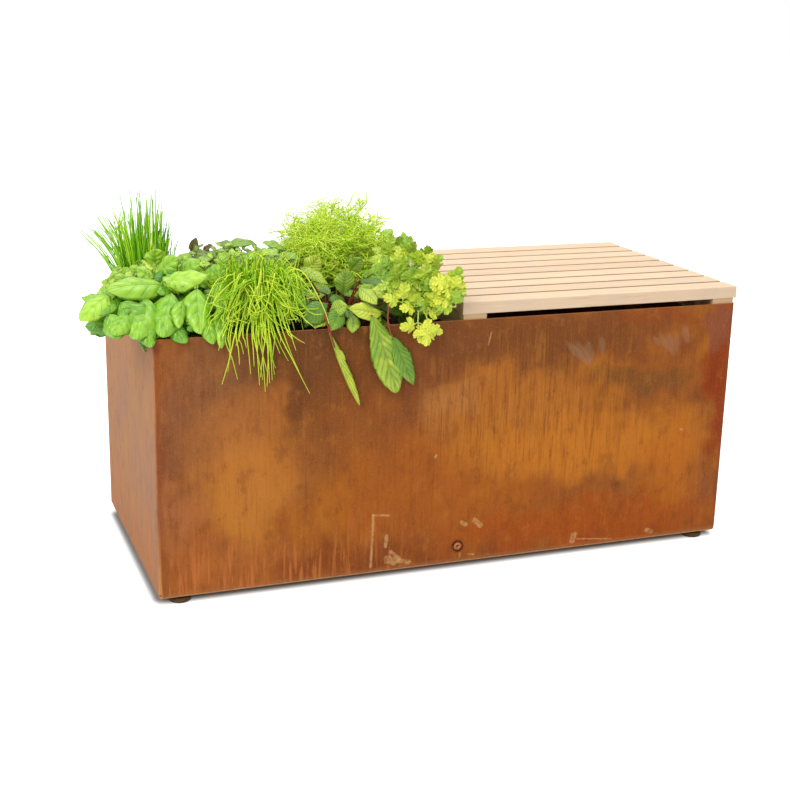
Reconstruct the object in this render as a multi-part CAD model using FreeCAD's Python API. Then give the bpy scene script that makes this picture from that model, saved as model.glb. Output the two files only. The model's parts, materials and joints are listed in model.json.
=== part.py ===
import FreeCAD, Part
import math
import os

# Bench with planter: a folded box of weathering steel on levelling feet, planted at its left half,
# with a slatted wooden seat that lifts off the storage bay at its right half.
# Millimetres. X runs to the seat, Y to the back, Z up. The origin is the middle of the box's underside.

# How far a cut runs past a face, and how near two heights are the same
cut_past = 1.0
tolerance = 0.01

# Steel box
box_length = 1000.0
box_width = 450.0
box_height = 415.0
sheet = 3.0
corner_bend = 5.0
bottom_bend = 4.0
end_flange = 56.0
side_flange = 42.0
relief_radius = 4.0
weld_leg = 4.0
weep_hole_radius = 4.0
weep_hole_from_edge = 60.0

# Levelling feet
foot_from_end = 36.0
foot_from_side = 21.0
foot_pad_radius = 18.0
foot_pad_height = 8.0
foot_pad_ease = 2.0
foot_collar_radius = 9.0
foot_collar_height = 4.0
foot_stud_radius = 5.0
foot_stud_reach = 25.0
foot_stud_in_pad = 5.0
foot_hole_clearance = 0.5
foot_nut_across = 17.0
foot_nut_height = 8.0
thread_clearance = 0.06

# Divider between the planting bay and the storage bay
divider_sheet = 2.0
divider_top_flange = 22.0
divider_bottom_flange = 18.0
divider_side_clearance = 0.5
divider_top_clearance = 1.0
angle_leg = 25.0
angle_sheet = 3.0
angle_from_floor = 17.0
angle_from_flange = 10.0
rivet_radius = 2.5
rivet_head_radius = 4.5
rivet_head_depth = 1.6
rivet_tail_height = 2.0
rivet_count = 4
rivet_from_angle_end = 35.0
rivet_from_wall = 15.0

# Drain in the front
drain_height = 30.0
drain_from_divider = 17.0
drain_socket_radius = 10.0
drain_bore_radius = 7.0
drain_socket_proud = 2.0
drain_socket_depth = 28.0
drain_plug_length = 12.0
drain_plug_recess = 0.8
drain_plug_dome = 0.8
drain_plug_dome_inset = 2.4
plug_key_across = 5.0
plug_key_depth = 4.0
strainer_thickness = 2.0
strainer_hole_radius = 1.5
strainer_hole_circle = 4.2
strainer_hole_count = 6
weld_fit = 0.05

# Filling of the planting bay
fill_clearance = 0.5
fill_corner = 7.0
pebble_depth = 52.0
fleece_thickness = 2.0
soil_below_rim = 30.0
soil_edge_fall = 6.0
pocket_clearance = 2.0

# Wooden seat
seat_length = 505.5
seat_right_overhang = 1.0
slat_width = 43.0
slat_thickness = 20.0
slat_gap_least = 5.0
slat_top_round = 1.5
slat_under_round = 1.5
batten_width = 40.0
batten_height = 30.0
batten_above_rim = 8.8
batten_from_wall = 0.3
batten_from_slat_end = 1.9
batten_end_set_back = 2.0
batten_side_clearance = 0.3
screw_radius = 2.25
screw_head_radius = 4.5
screw_head_depth = 3.0
screw_length = 44.0
screw_tip = 4.5
screw_clearance = 0.1

# Planting: a plant's place is its share of the bay's length and its distance from its row's line
chives_place = (0.105, 20.0)
basil_place = (0.125, -15.0)
dark_basil_place = (0.355, -10.0)
garlic_chives_place = (0.375, -5.0)
dill_place = (0.66, -30.0)
sorrel_place = (0.625, -5.0)
celery_place = (0.872, 5.0)
chard_place = (0.91, -30.0)
front_row_y = -125.0
back_row_y = 90.0
row_split_y = -15.0
row_gap = 2.0
front_row_ends = (0.245, 0.50, 0.77)
back_row_ends = (0.22, 0.49, 0.82)
leaf_from_seat = 4.0
leaf_from_wall = 2.0
leaf_from_front = 10.0
leaf_thickness = 2.4
leaf_fold_share = 0.14
leaf_arch_share = 0.10
stem_radius = 2.6
stem_taper = 0.7
stem_from_centre = 9.0
crown_height = 12.0
crown_sides = 8
root_depth = 1.0
blade_lengths = 6
bend_share = 0.62
stalk_over_rim = 52.0
blade_over_rim = 84.0
plant_reach = 130.0
plant_height = 230.0
hang_depth = 125.0
golden_angle = 137.5

# Sizes worked out from those above
half_length = box_length / 2
half_width = box_width / 2
foot_x = half_length - foot_from_end
foot_y = half_width - foot_from_side
wall_x = half_length - sheet
wall_y = half_width - sheet
seat_right = half_length + seat_right_overhang
seat_left = seat_right - seat_length
batten_left_x = seat_left + batten_from_slat_end
batten_right_x = wall_x - batten_from_wall - batten_width
slat_bottom = box_height + batten_above_rim
batten_bottom = slat_bottom - batten_height
slat_count = int((box_width + slat_gap_least) / (slat_width + slat_gap_least))
slat_pitch = (box_width - slat_width) / (slat_count - 1)
divider_x = batten_left_x + batten_width / 2 - divider_sheet / 2
divider_back = divider_x + divider_sheet
divider_top = batten_bottom - divider_top_clearance
drain_x = divider_x - drain_from_divider
drain_front = -half_width - drain_socket_proud
drain_back = drain_front + drain_socket_depth
bay_left = -wall_x + fill_clearance
bay_right = divider_x - fill_clearance
bay_length = bay_right - bay_left
pebble_top = sheet + pebble_depth
soil_bottom = pebble_top + fleece_thickness
soil_top = box_height - soil_below_rim

X_AXIS = FreeCAD.Vector(1, 0, 0)
Y_AXIS = FreeCAD.Vector(0, 1, 0)
Z_AXIS = FreeCAD.Vector(0, 0, 1)


def vec(x, y, z):
    return FreeCAD.Vector(x, y, z)


def block(x0, x1, y0, y1, z0, z1):
    return Part.makeBox(x1 - x0, y1 - y0, z1 - z0, vec(x0, y0, z0))


def rod(radius, start, direction, length):
    return Part.makeCylinder(radius, length, start, direction)


def hexagon(across, start, height):
    corner = across / math.sqrt(3)
    points = []
    for k in range(7):
        turn = math.radians(60 * k)
        points.append(vec(start.x + corner * math.cos(turn), start.y + corner * math.sin(turn), start.z))
    return Part.Face(Part.makePolygon(points)).extrude(vec(0, 0, height))


def turned_about_x(profile, start):
    """Solid turned from (distance along X, radius) points about a line through start."""
    points = [vec(start.x + along, start.y, start.z + radius) for along, radius in profile]
    points.append(points[0])
    return Part.Face(Part.makePolygon(points)).revolve(start, X_AXIS, 360)


def turned_about_z(profile, start):
    """Solid turned from (radius, height) points about an upright line through start."""
    points = [vec(start.x + radius, start.y, start.z + height) for radius, height in profile]
    points.append(points[0])
    return Part.Face(Part.makePolygon(points)).revolve(start, Z_AXIS, 360)


def foot_places():
    """The four corners' names and places, front left first."""
    return (
        ("front_left", -foot_x, -foot_y),
        ("front_right", foot_x, -foot_y),
        ("back_left", -foot_x, foot_y),
        ("back_right", foot_x, foot_y),
    )


# Steel box


def folded_block(inset, corner_radius, bottom_radius, top, back):
    """Block of the box's plan, rounded at its front uprights and along its front and end lower edges."""
    x = half_length - inset
    y = half_width - inset
    r = corner_radius
    d = r * (1 - math.sqrt(0.5))
    edges = [
        Part.LineSegment(vec(-x, back, inset), vec(-x, -y + r, inset)).toShape(),
        Part.Arc(vec(-x, -y + r, inset), vec(-x + d, -y + d, inset), vec(-x + r, -y, inset)).toShape(),
        Part.LineSegment(vec(-x + r, -y, inset), vec(x - r, -y, inset)).toShape(),
        Part.Arc(vec(x - r, -y, inset), vec(x - d, -y + d, inset), vec(x, -y + r, inset)).toShape(),
        Part.LineSegment(vec(x, -y + r, inset), vec(x, back, inset)).toShape(),
        Part.LineSegment(vec(x, back, inset), vec(-x, back, inset)).toShape(),
    ]
    solid = Part.Face(Part.Wire(edges)).extrude(vec(0, 0, top - inset))
    lower = []
    for edge in solid.Edges:
        bounds = edge.BoundBox
        if bounds.ZMax < inset + tolerance and bounds.YMin < back - tolerance:
            lower.append(edge)
    return solid.makeFillet(bottom_radius, lower)


def shell_front():
    """Front and both ends in one bent sheet, with return flanges, foot holes and the drain hole."""
    outer = folded_block(0, corner_bend, bottom_bend, box_height, half_width)
    inner = folded_block(
        sheet, corner_bend - sheet, bottom_bend - sheet, box_height + cut_past, half_width + cut_past,
    )
    solid = outer.cut(inner)
    solid = solid.cut(block(
        -half_length + end_flange, half_length - end_flange,
        -half_width + side_flange, half_width + cut_past,
        -cut_past, sheet + cut_past,
    ))
    through = sheet + 2 * cut_past
    for name, x, y in foot_places():
        solid = solid.cut(rod(foot_stud_radius + foot_hole_clearance, vec(x, y, -cut_past), Z_AXIS, through))
    for side in (-1, 1):
        start = vec(side * half_length, -half_width, -cut_past)
        solid = solid.cut(rod(relief_radius, start, Z_AXIS, 2 * bottom_bend + cut_past))
    start = vec(drain_x, -half_width - cut_past, drain_height)
    return solid.cut(rod(drain_socket_radius + weld_fit, start, Y_AXIS, through))


def shell_back():
    """Back panel between the ends, bent into its own return flange below."""
    y = half_width
    r = bottom_bend
    d = r * (1 - math.sqrt(0.5))
    inner_r = bottom_bend - sheet
    inner_d = inner_r * (1 - math.sqrt(0.5))
    x = -half_length + end_flange
    edges = [
        Part.LineSegment(vec(x, y - side_flange, 0), vec(x, y - r, 0)).toShape(),
        Part.Arc(vec(x, y - r, 0), vec(x, y - d, d), vec(x, y, r)).toShape(),
        Part.LineSegment(vec(x, y, r), vec(x, y, box_height)).toShape(),
        Part.LineSegment(vec(x, y, box_height), vec(x, wall_y, box_height)).toShape(),
        Part.LineSegment(vec(x, wall_y, box_height), vec(x, wall_y, sheet + inner_r)).toShape(),
        Part.Arc(
            vec(x, wall_y, sheet + inner_r),
            vec(x, wall_y - inner_d, sheet + inner_d),
            vec(x, wall_y - inner_r, sheet),
        ).toShape(),
        Part.LineSegment(vec(x, wall_y - inner_r, sheet), vec(x, y - side_flange, sheet)).toShape(),
        Part.LineSegment(vec(x, y - side_flange, sheet), vec(x, y - side_flange, 0)).toShape(),
    ]
    middle = Part.Face(Part.Wire(edges)).extrude(vec(-2 * x, 0, 0))
    left = block(-wall_x, x, wall_y, y, bottom_bend, box_height)
    right = block(-x, wall_x, wall_y, y, bottom_bend, box_height)
    return middle.multiFuse([left, right]).removeSplitter()


def base_plate():
    """Floor let flush into the ring of return flanges, with weep holes under the storage bay."""
    x = half_length - end_flange
    y = half_width - side_flange
    solid = block(-x, x, -y, y, 0, sheet)
    for hole_x in (divider_back + weep_hole_from_edge, x - weep_hole_from_edge):
        for hole_y in (-y + weep_hole_from_edge, y - weep_hole_from_edge):
            start = vec(hole_x, hole_y, -cut_past)
            solid = solid.cut(rod(weep_hole_radius, start, Z_AXIS, sheet + 2 * cut_past))
    return solid


def corner_welds():
    """Fillet welds inside the two rear corners, below the seat's battens."""
    beads = []
    for side in (-1, 1):
        corner = [
            vec(side * wall_x, wall_y, bottom_bend),
            vec(side * (wall_x - weld_leg), wall_y, bottom_bend),
            vec(side * wall_x, wall_y - weld_leg, bottom_bend),
            vec(side * wall_x, wall_y, bottom_bend),
        ]
        height = batten_bottom - bottom_bend - divider_top_clearance
        beads.append(Part.Face(Part.makePolygon(corner)).extrude(vec(0, 0, height)))
    return Part.makeCompound(beads)


# Levelling feet


def foot_nuts():
    """Nuts welded on the flanges, one over each foot hole."""
    nuts = []
    for name, x, y in foot_places():
        nut = hexagon(foot_nut_across, vec(x, y, sheet), foot_nut_height)
        start = vec(x, y, sheet - cut_past)
        bore = rod(foot_stud_radius + thread_clearance, start, Z_AXIS, foot_nut_height + 2 * cut_past)
        nuts.append(nut.cut(bore))
    return Part.makeCompound(nuts)


def foot_stud(x, y):
    """Threaded stud with the collar that turns it, screwed home under the flange."""
    collar = rod(foot_collar_radius, vec(x, y, -foot_collar_height), Z_AXIS, foot_collar_height)
    bottom = -foot_collar_height - foot_stud_in_pad
    stud = rod(foot_stud_radius, vec(x, y, bottom), Z_AXIS, foot_stud_reach - bottom)
    return collar.fuse(stud).removeSplitter()


def foot_pad(x, y):
    """Round pad with eased edges, moulded round the stud's end."""
    bottom = -foot_collar_height - foot_pad_height
    profile = (
        (0, 0),
        (foot_pad_radius - foot_pad_ease, 0),
        (foot_pad_radius, foot_pad_ease),
        (foot_pad_radius, foot_pad_height - foot_pad_ease),
        (foot_pad_radius - foot_pad_ease, foot_pad_height),
        (0, foot_pad_height),
    )
    solid = turned_about_z(profile, vec(x, y, bottom))
    socket_bottom = -foot_collar_height - foot_stud_in_pad
    socket = rod(foot_stud_radius, vec(x, y, socket_bottom), Z_AXIS, foot_stud_in_pad + cut_past)
    return solid.cut(socket)


# Divider


def rivet_places():
    """Y and z of each rivet through the divider and an angle."""
    bottom = sheet + angle_from_floor + rivet_from_angle_end
    top = divider_top - divider_sheet - angle_from_flange - rivet_from_angle_end
    pitch = (top - bottom) / (rivet_count - 1)
    places = []
    for side in (-1, 1):
        for k in range(rivet_count):
            places.append((side * (wall_y - rivet_from_wall), bottom + k * pitch))
    return places


def rivet_profile(clearance, tail):
    """Points of a flush rivet, or of its hole when a clearance is given."""
    shank = rivet_radius + clearance
    head = rivet_head_radius + clearance
    length = divider_sheet + angle_sheet
    profile = [(-clearance, 0), (-clearance, head), (rivet_head_depth, shank), (length, shank)]
    if tail:
        profile += [(length, head), (length + rivet_tail_height, shank), (length + rivet_tail_height, 0)]
    else:
        profile += [(length + cut_past, shank), (length + cut_past, 0)]
    return profile


def divider():
    """Upright sheet with a flange folded under the seat's left batten and one on the base."""
    x = divider_x
    t = divider_sheet
    points = [
        vec(x, 0, sheet),
        vec(x + t + divider_bottom_flange, 0, sheet),
        vec(x + t + divider_bottom_flange, 0, sheet + t),
        vec(x + t, 0, sheet + t),
        vec(x + t, 0, divider_top - t),
        vec(x + t + divider_top_flange, 0, divider_top - t),
        vec(x + t + divider_top_flange, 0, divider_top),
        vec(x, 0, divider_top),
        vec(x, 0, sheet),
    ]
    half = wall_y - divider_side_clearance - (bottom_bend - sheet)
    solid = Part.Face(Part.makePolygon(points)).extrude(vec(0, 2 * half, 0))
    solid.translate(vec(0, -half, 0))
    for y, z in rivet_places():
        solid = solid.cut(turned_about_x(rivet_profile(weld_fit, False), vec(x, y, z)))
    return solid


def divider_angle(side):
    """Angle welded to a wall, which the divider is riveted to."""
    x0 = divider_back
    x1 = x0 + angle_leg
    wall = side * wall_y
    inner = side * (wall_y - angle_sheet)
    tip = side * (wall_y - angle_leg)
    z0 = sheet + angle_from_floor
    z1 = divider_top - divider_sheet - angle_from_flange
    points = [
        vec(x0, wall, z0), vec(x1, wall, z0), vec(x1, inner, z0),
        vec(x0 + angle_sheet, inner, z0), vec(x0 + angle_sheet, tip, z0), vec(x0, tip, z0), vec(x0, wall, z0),
    ]
    solid = Part.Face(Part.makePolygon(points)).extrude(vec(0, 0, z1 - z0))
    for y, z in rivet_places():
        solid = solid.cut(turned_about_x(rivet_profile(weld_fit, False), vec(divider_x, y, z)))
    return solid


def divider_rivets():
    """Rivets, flush on the soil's side."""
    rivets = [turned_about_x(rivet_profile(0, True), vec(divider_x, y, z)) for y, z in rivet_places()]
    return Part.makeCompound(rivets)


# Drain


def drain_socket():
    """Pipe socket through the front wall, a little proud of it."""
    start = vec(drain_x, drain_front, drain_height)
    pipe = rod(drain_socket_radius, start, Y_AXIS, drain_socket_depth)
    start = vec(drain_x, drain_front - cut_past, drain_height)
    return pipe.cut(rod(drain_bore_radius, start, Y_AXIS, drain_socket_depth + 2 * cut_past))


def drain_plug():
    """Threaded plug with a low domed face and a key socket."""
    radius = drain_bore_radius - thread_clearance
    face = drain_front + drain_plug_recess
    body = rod(radius, vec(drain_x, face + drain_plug_dome, drain_height), Y_AXIS, drain_plug_length)
    dome = Part.makeCone(
        radius, radius - drain_plug_dome_inset, drain_plug_dome,
        vec(drain_x, face + drain_plug_dome, drain_height), vec(0, -1, 0),
    )
    key = hexagon(plug_key_across, vec(0, 0, 0), drain_plug_dome + plug_key_depth)
    key.rotate(vec(0, 0, 0), X_AXIS, -90)
    key.translate(vec(drain_x, face, drain_height))
    return body.fuse(dome).cut(key).removeSplitter()


def drain_strainer():
    """Perforated disc that keeps the pebbles out of the socket."""
    start = vec(drain_x, drain_back, drain_height)
    solid = rod(drain_socket_radius, start, Y_AXIS, strainer_thickness)
    places = [(0, 0)]
    for k in range(strainer_hole_count):
        turn = 2 * math.pi * k / strainer_hole_count
        places.append((strainer_hole_circle * math.cos(turn), strainer_hole_circle * math.sin(turn)))
    for x, z in places:
        hole_start = start + vec(x, -cut_past, z)
        hole = rod(strainer_hole_radius, hole_start, Y_AXIS, strainer_thickness + 2 * cut_past)
        solid = solid.cut(hole)
    return solid


# Filling of the planting bay


def bay_block(bottom, top):
    """Block of the planting bay's plan, its upright corners cut back from the bends and welds."""
    half = wall_y - fill_clearance
    solid = block(bay_left, bay_right, -half, half, bottom, top)
    upright = [edge for edge in solid.Edges if edge.BoundBox.ZLength > (top - bottom) / 2]
    return solid.makeChamfer(fill_corner, upright)


def pebbles():
    """Clay pebbles on the floor, clear of the lower bends, the foot nuts and the drain."""
    solid = bay_block(sheet, pebble_top)
    for name, x, y in foot_places():
        if x < bay_right:
            radius = foot_nut_across / math.sqrt(3) + pocket_clearance
            solid = solid.cut(rod(radius, vec(x, y, 0), Z_AXIS, foot_stud_reach + pocket_clearance))
    inner_bend = bottom_bend - sheet
    for side in (-1, 1):
        edge = side * wall_y
        solid = solid.cut(block(
            -wall_x, bay_right + cut_past, edge - inner_bend, edge + inner_bend, 0, bottom_bend,
        ))
    solid = solid.cut(block(-wall_x, -wall_x + inner_bend, -wall_y, wall_y, 0, bottom_bend))
    start = vec(drain_x, -half_width, drain_height)
    depth = drain_back + strainer_thickness + pocket_clearance + half_width
    return solid.cut(rod(drain_socket_radius + pocket_clearance, start, Y_AXIS, depth))


def fleece():
    """Filter fleece between the pebbles and the soil."""
    return bay_block(pebble_top, soil_bottom)


def soil():
    """Potting soil, fallen a little at its edges."""
    solid = bay_block(soil_bottom, soil_top)
    rim = [edge for edge in solid.Edges if edge.BoundBox.ZMin > soil_top - tolerance]
    return solid.makeChamfer(soil_edge_fall, rim)


# Planting


def plant_x(share):
    return bay_left + share * bay_length


def spot(place, row_y):
    """X and y of a plant's crown from its place in its row."""
    share, off_row = place
    return plant_x(share), row_y + off_row


def plant_space(row_ends, index, front):
    """Room that one plant may fill: over the soil inside the walls, over the rim, and down the front."""
    x0 = -half_length - plant_reach
    x1 = seat_left - leaf_from_seat
    if index > 0:
        x0 = plant_x(row_ends[index - 1]) + row_gap / 2
    if index < len(row_ends):
        x1 = plant_x(row_ends[index]) - row_gap / 2
    y0, y1 = -half_width - plant_reach, row_split_y - row_gap / 2
    if not front:
        y0, y1 = row_split_y + row_gap / 2, half_width
    top = soil_top + plant_height
    above = block(x0, x1, y0, y1, box_height + leaf_from_wall, top)
    in_x0 = max(x0, bay_left)
    in_x1 = min(x1, bay_right)
    inside = block(
        in_x0, in_x1,
        max(y0, -wall_y + leaf_from_wall), min(y1, wall_y - leaf_from_wall),
        soil_top, box_height + leaf_from_wall,
    )
    room = above.fuse(inside)
    if front:
        outside = block(
            x0, x1, y0, -half_width - leaf_from_wall,
            box_height - hang_depth, box_height + leaf_from_wall,
        )
        room = room.fuse(outside)
    return room.removeSplitter()


def crown(x, y, radius):
    """Low mound with flat sides, where the stems leave the soil."""
    low = outline_across(vec(x, y, soil_top), Z_AXIS, radius, crown_sides)
    high = outline_across(vec(x, y, soil_top + crown_height), Z_AXIS, radius / 2, crown_sides)
    return Part.makeLoft([low, high], True, True)


def outline_across(centre, along, radius, sides=4):
    """Regular outline about a point, square to a direction."""
    level = vec(-along.y, along.x, 0)
    if level.Length < tolerance:
        level = vec(1, 0, 0)
    level.normalize()
    other = along.cross(level)
    other.normalize()
    points = []
    for k in range(sides + 1):
        turn = 2 * math.pi * (k + 0.5) / sides
        points.append(centre + level * (radius * math.cos(turn)) + other * (radius * math.sin(turn)))
    return Part.makePolygon(points)


def spike(foot, tip, radius_0, radius_1):
    """Slender square stem or blade, narrowing from foot to tip."""
    along = tip - foot
    ends = [outline_across(foot, along, radius_0), outline_across(tip, along, radius_1)]
    return Part.makeLoft(ends, True, True)


def stem(x, y, base):
    """Stem from the crown's side that faces base to a little past base, where it meets the leaf."""
    out = vec(base.x - x, base.y - y, 0)
    foot = vec(x, y, soil_top + 2 * root_depth) + out * (stem_from_centre / out.Length)
    along = base - foot
    return spike(foot, base + along * (stem_radius / along.Length), stem_radius, stem_radius * stem_taper)


def folded_plate(outline, ridge, thickness):
    """Thin plate under an outline of points, folded down to a ridge of points along its middle."""
    low = vec(0, 0, -thickness)
    count = len(outline)
    half = count // 2
    faces = []
    for side in (outline[1:half], outline[:half:-1]):
        corners = [(outline[0], side[0], ridge[0])]
        for k in range(len(side) - 1):
            corners.append((side[k], side[k + 1], ridge[k]))
            corners.append((ridge[k], side[k + 1], ridge[k + 1]))
        corners.append((side[-1], outline[half], ridge[-1]))
        for a, b, c in corners:
            faces.append(Part.Face(Part.makePolygon([a, b, c, a])))
            faces.append(Part.Face(Part.makePolygon([a + low, b + low, c + low, a + low])))
    for k in range(count):
        a = outline[k]
        b = outline[(k + 1) % count]
        faces.append(Part.Face(Part.makePolygon([a, b, b + low, a + low, a])))
    return Part.makeSolid(Part.makeShell(faces))


def leaf(base, azimuth, pitch, length, width, sway=0.0):
    """Pointed leaf, folded along its rib and arched, from base towards azimuth, raised by pitch."""
    half = width / 2
    fold = leaf_fold_share * width
    arch = leaf_arch_share * length
    # Two stations along the leaf: share of its length, and share of its half width there
    stations = ((0.26, 0.92), (0.64, 0.84))
    left = [vec(share * length, half * wide, arch) for share, wide in stations]
    right = [vec(share * length, -half * wide, arch) for share, wide in reversed(stations)]
    ridge = [vec(share * length, 0, arch - fold) for share, wide in stations]
    outline = [vec(-0.1 * length, 0, 0)] + left + [vec(length, 0, -0.6 * arch)] + right
    solid = folded_plate(outline, ridge, leaf_thickness)
    solid.translate(vec(0, 0, leaf_thickness / 2))
    solid.rotate(vec(0, 0, 0), Y_AXIS, -pitch)
    solid.rotate(vec(0, 0, 0), Z_AXIS, azimuth)
    solid.rotate(vec(0, 0, 0), Y_AXIS, sway)
    solid.translate(base)
    return solid


def drooping_blade(foot, tip, top_z, width, thickness):
    """Flat blade that climbs from foot to top_z and falls to tip, in straight lengths of one bend."""
    top = foot + (tip - foot) * bend_share
    top.z = top_z
    middle = []
    for k in range(blade_lengths + 1):
        t = k / blade_lengths
        middle.append(foot * ((1 - t) * (1 - 2 * t)) + top * (4 * t * (1 - t)) + tip * (t * (2 * t - 1)))
    along = tip - foot
    across = vec(-along.y, along.x, 0)
    across.normalize()
    upper = []
    lower = []
    for k, point in enumerate(middle):
        before = middle[max(k - 1, 0)]
        after = middle[min(k + 1, blade_lengths)]
        normal = across.cross(after - before)
        normal.normalize()
        upper.append(point + normal * (thickness / 2) - across * (width / 2))
        lower.append(point - normal * (thickness / 2) - across * (width / 2))
    outline = upper + lower[::-1] + [upper[0]]
    return Part.Face(Part.makePolygon(outline)).extrude(across * width)


def joined(pieces, room):
    """One solid of all the plant's pieces, kept inside its room."""
    return pieces[0].multiFuse(pieces[1:]).common(room).removeSplitter()


def upright_blades(x, y, count, spread, height, lean, radius):
    """Straight blades that rise in a spiral order, shorter and further out towards the edge."""
    blades = []
    for k in range(count):
        share = math.sqrt((k + 0.5) / count)
        turn = math.radians(golden_angle * k)
        around = vec(math.cos(turn), math.sin(turn), 0)
        foot = vec(x, y, soil_top + root_depth) + around * (spread * share)
        tip = foot + around * (lean * share * height) + Z_AXIS * (height * (1 - 0.3 * share * share))
        blades.append(spike(foot, tip, radius, radius / 3))
    return blades


def leafy_stems(x, y, count, spread, low, high, length, width, droop, rise):
    """Leaves in a spiral order up the plant: wide and low first, small and steep at the top."""
    pieces = []
    for k in range(count):
        share = k / (count - 1)
        azimuth = golden_angle * k
        turn = math.radians(azimuth)
        around = vec(math.cos(turn), math.sin(turn), 0)
        base = vec(x, y, soil_top + low + (high - low) * share) + around * (spread * (1 - 0.8 * share))
        pieces.append(stem(x, y, base))
        size = 1 - 0.35 * share
        pieces.append(leaf(base, azimuth, rise * share - droop * (1 - share), length * size, width * size))
    return pieces


def hanging_leaf(x, y, crown_x, width, length, drop, sway):
    """Leaf on a stalk that climbs over the front rim and hangs down in front of the wall."""
    foot = vec(crown_x, y, soil_top + 4 * root_depth)
    base = vec(x, -half_width - leaf_from_front, box_height - drop)
    end = base + vec(0, 0, -stem_from_centre / 2)
    stalk = drooping_blade(foot, end, box_height + stalk_over_rim, 2 * stem_radius, 2 * stem_radius)
    return [stalk, leaf(base, -90, -82, length, width, sway)]


def chives():
    """Upright chives at the back left corner, with a few long blades leaning to the left."""
    x, y = spot(chives_place, back_row_y)
    pieces = [crown(x, y, radius=44)]
    pieces += upright_blades(x, y, count=26, spread=36, height=205, lean=0.30, radius=2.6)
    # Blades that lean out: how far their feet are back, then how far their tips are out, back and up
    for foot_back, out, back, up in ((-12, 58, -26, 160), (0, 46, 0, 168), (12, 34, 26, 176)):
        foot = vec(x - 20, y + foot_back, soil_top + root_depth)
        tip = vec(-half_length - out, y + back, soil_top + up)
        pieces.append(spike(foot, tip, radius_0=2.4, radius_1=0.8))
    return joined(pieces, plant_space(back_row_ends, 0, False))


def basil():
    """Basil at the front left corner, with leaves overhanging the left end and the front rim."""
    x, y = spot(basil_place, front_row_y)
    pieces = [crown(x, y, radius=26)]
    pieces += leafy_stems(
        x, y, count=14, spread=60, low=46, high=116, length=68, width=48, droop=12, rise=48,
    )
    # Leaves past the left end: how far out, back and up they start, their direction and length
    for out, back, up, azimuth, long in ((20, -34, 36, 192, 74), (14, 10, 44, 176, 60), (8, 54, 52, 160, 46)):
        base = vec(-half_length - out, y + back, box_height + up)
        pieces.append(stem(x, y, base))
        pieces.append(leaf(base, azimuth, pitch=-4, length=long, width=46))
    # Leaves over the front rim: how far along they start, and their direction
    for along, azimuth in ((-45, -100), (-3, -88), (39, -76)):
        base = vec(x + along, -half_width - 8, box_height + 26)
        pieces.append(stem(x, y, base))
        pieces.append(leaf(base, azimuth, pitch=-58, length=50, width=40))
    return joined(pieces, plant_space(front_row_ends, 0, True))


def dark_basil():
    """Brownish basil behind the middle of the planting."""
    x, y = spot(dark_basil_place, back_row_y)
    pieces = [crown(x, y, radius=24)]
    pieces += leafy_stems(
        x, y, count=12, spread=50, low=46, high=112, length=52, width=34, droop=6, rise=52,
    )
    return joined(pieces, plant_space(back_row_ends, 1, False))


def garlic_chives():
    """Bright flat blades, most of them hanging over the front rim."""
    x, y = spot(garlic_chives_place, front_row_y)
    pieces = [crown(x, y, radius=32)]
    pieces += upright_blades(x, y, count=10, spread=22, height=125, lean=0.45, radius=2.4)
    # Blades over the rim: how far along and below it their tips hang, out from the front, and extra height
    hanging = (
        (-54, 72, 26, 0), (-38, 48, 30, 9), (-22, 66, 26, 18), (-6, 84, 30, 0),
        (10, 52, 26, 9), (26, 78, 30, 18), (40, 40, 26, 0), (52, 90, 30, 9),
    )
    for along, drop, out, higher in hanging:
        foot = vec(x + 0.3 * along, y, soil_top + 3 * root_depth)
        tip = vec(x + along, -half_width - out, box_height - drop)
        top_z = box_height + blade_over_rim + higher
        pieces.append(drooping_blade(foot, tip, top_z, width=3.6, thickness=2.0))
    return joined(pieces, plant_space(front_row_ends, 1, True))


def dill():
    """Airy tuft of dill, the tallest plant behind the sorrel."""
    x, y = spot(dill_place, back_row_y)
    pieces = [crown(x, y, radius=28)]
    pieces += upright_blades(x, y, count=34, spread=20, height=200, lean=0.46, radius=2.4)
    return joined(pieces, plant_space(back_row_ends, 2, False))


def red_veined_sorrel():
    """Sorrel with three long leaves hanging over the front rim."""
    x, y = spot(sorrel_place, front_row_y)
    pieces = [crown(x, y, radius=26)]
    pieces += leafy_stems(
        x, y, count=12, spread=44, low=44, high=100, length=62, width=34, droop=10, rise=46,
    )
    pieces += hanging_leaf(plant_x(0.535), y, x, width=20, length=100, drop=2, sway=-20)
    pieces += hanging_leaf(plant_x(0.64), y, x, width=38, length=104, drop=-6, sway=-12)
    pieces += hanging_leaf(plant_x(0.72), y, x, width=30, length=84, drop=2, sway=-6)
    return joined(pieces, plant_space(front_row_ends, 2, True))


def leaf_celery():
    """Leaf celery beside the seat, broad leaves on many thin stalks."""
    x, y = spot(celery_place, front_row_y)
    pieces = [crown(x, y, radius=24)]
    stalks = 13
    for k in range(stalks):
        share = k / (stalks - 1)
        azimuth = golden_angle * k + 20
        turn = math.radians(azimuth)
        out = 56 * (1 - 0.7 * share)
        around = vec(0.75 * math.cos(turn), 1.5 * math.sin(turn), 0)
        base = vec(x, y, soil_top + 46 + 68 * share) + around * out
        pieces.append(stem(x, y, base))
        pieces.append(leaf(base, azimuth, pitch=4 + 30 * share, length=40, width=36))
    for along in (-30, 4):
        base = vec(x + along, -half_width - leaf_from_front, box_height + 20)
        pieces.append(stem(x, y, base))
        pieces.append(leaf(base, -90, pitch=-44, length=36, width=32))
    return joined(pieces, plant_space(front_row_ends, 3, True))


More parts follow.
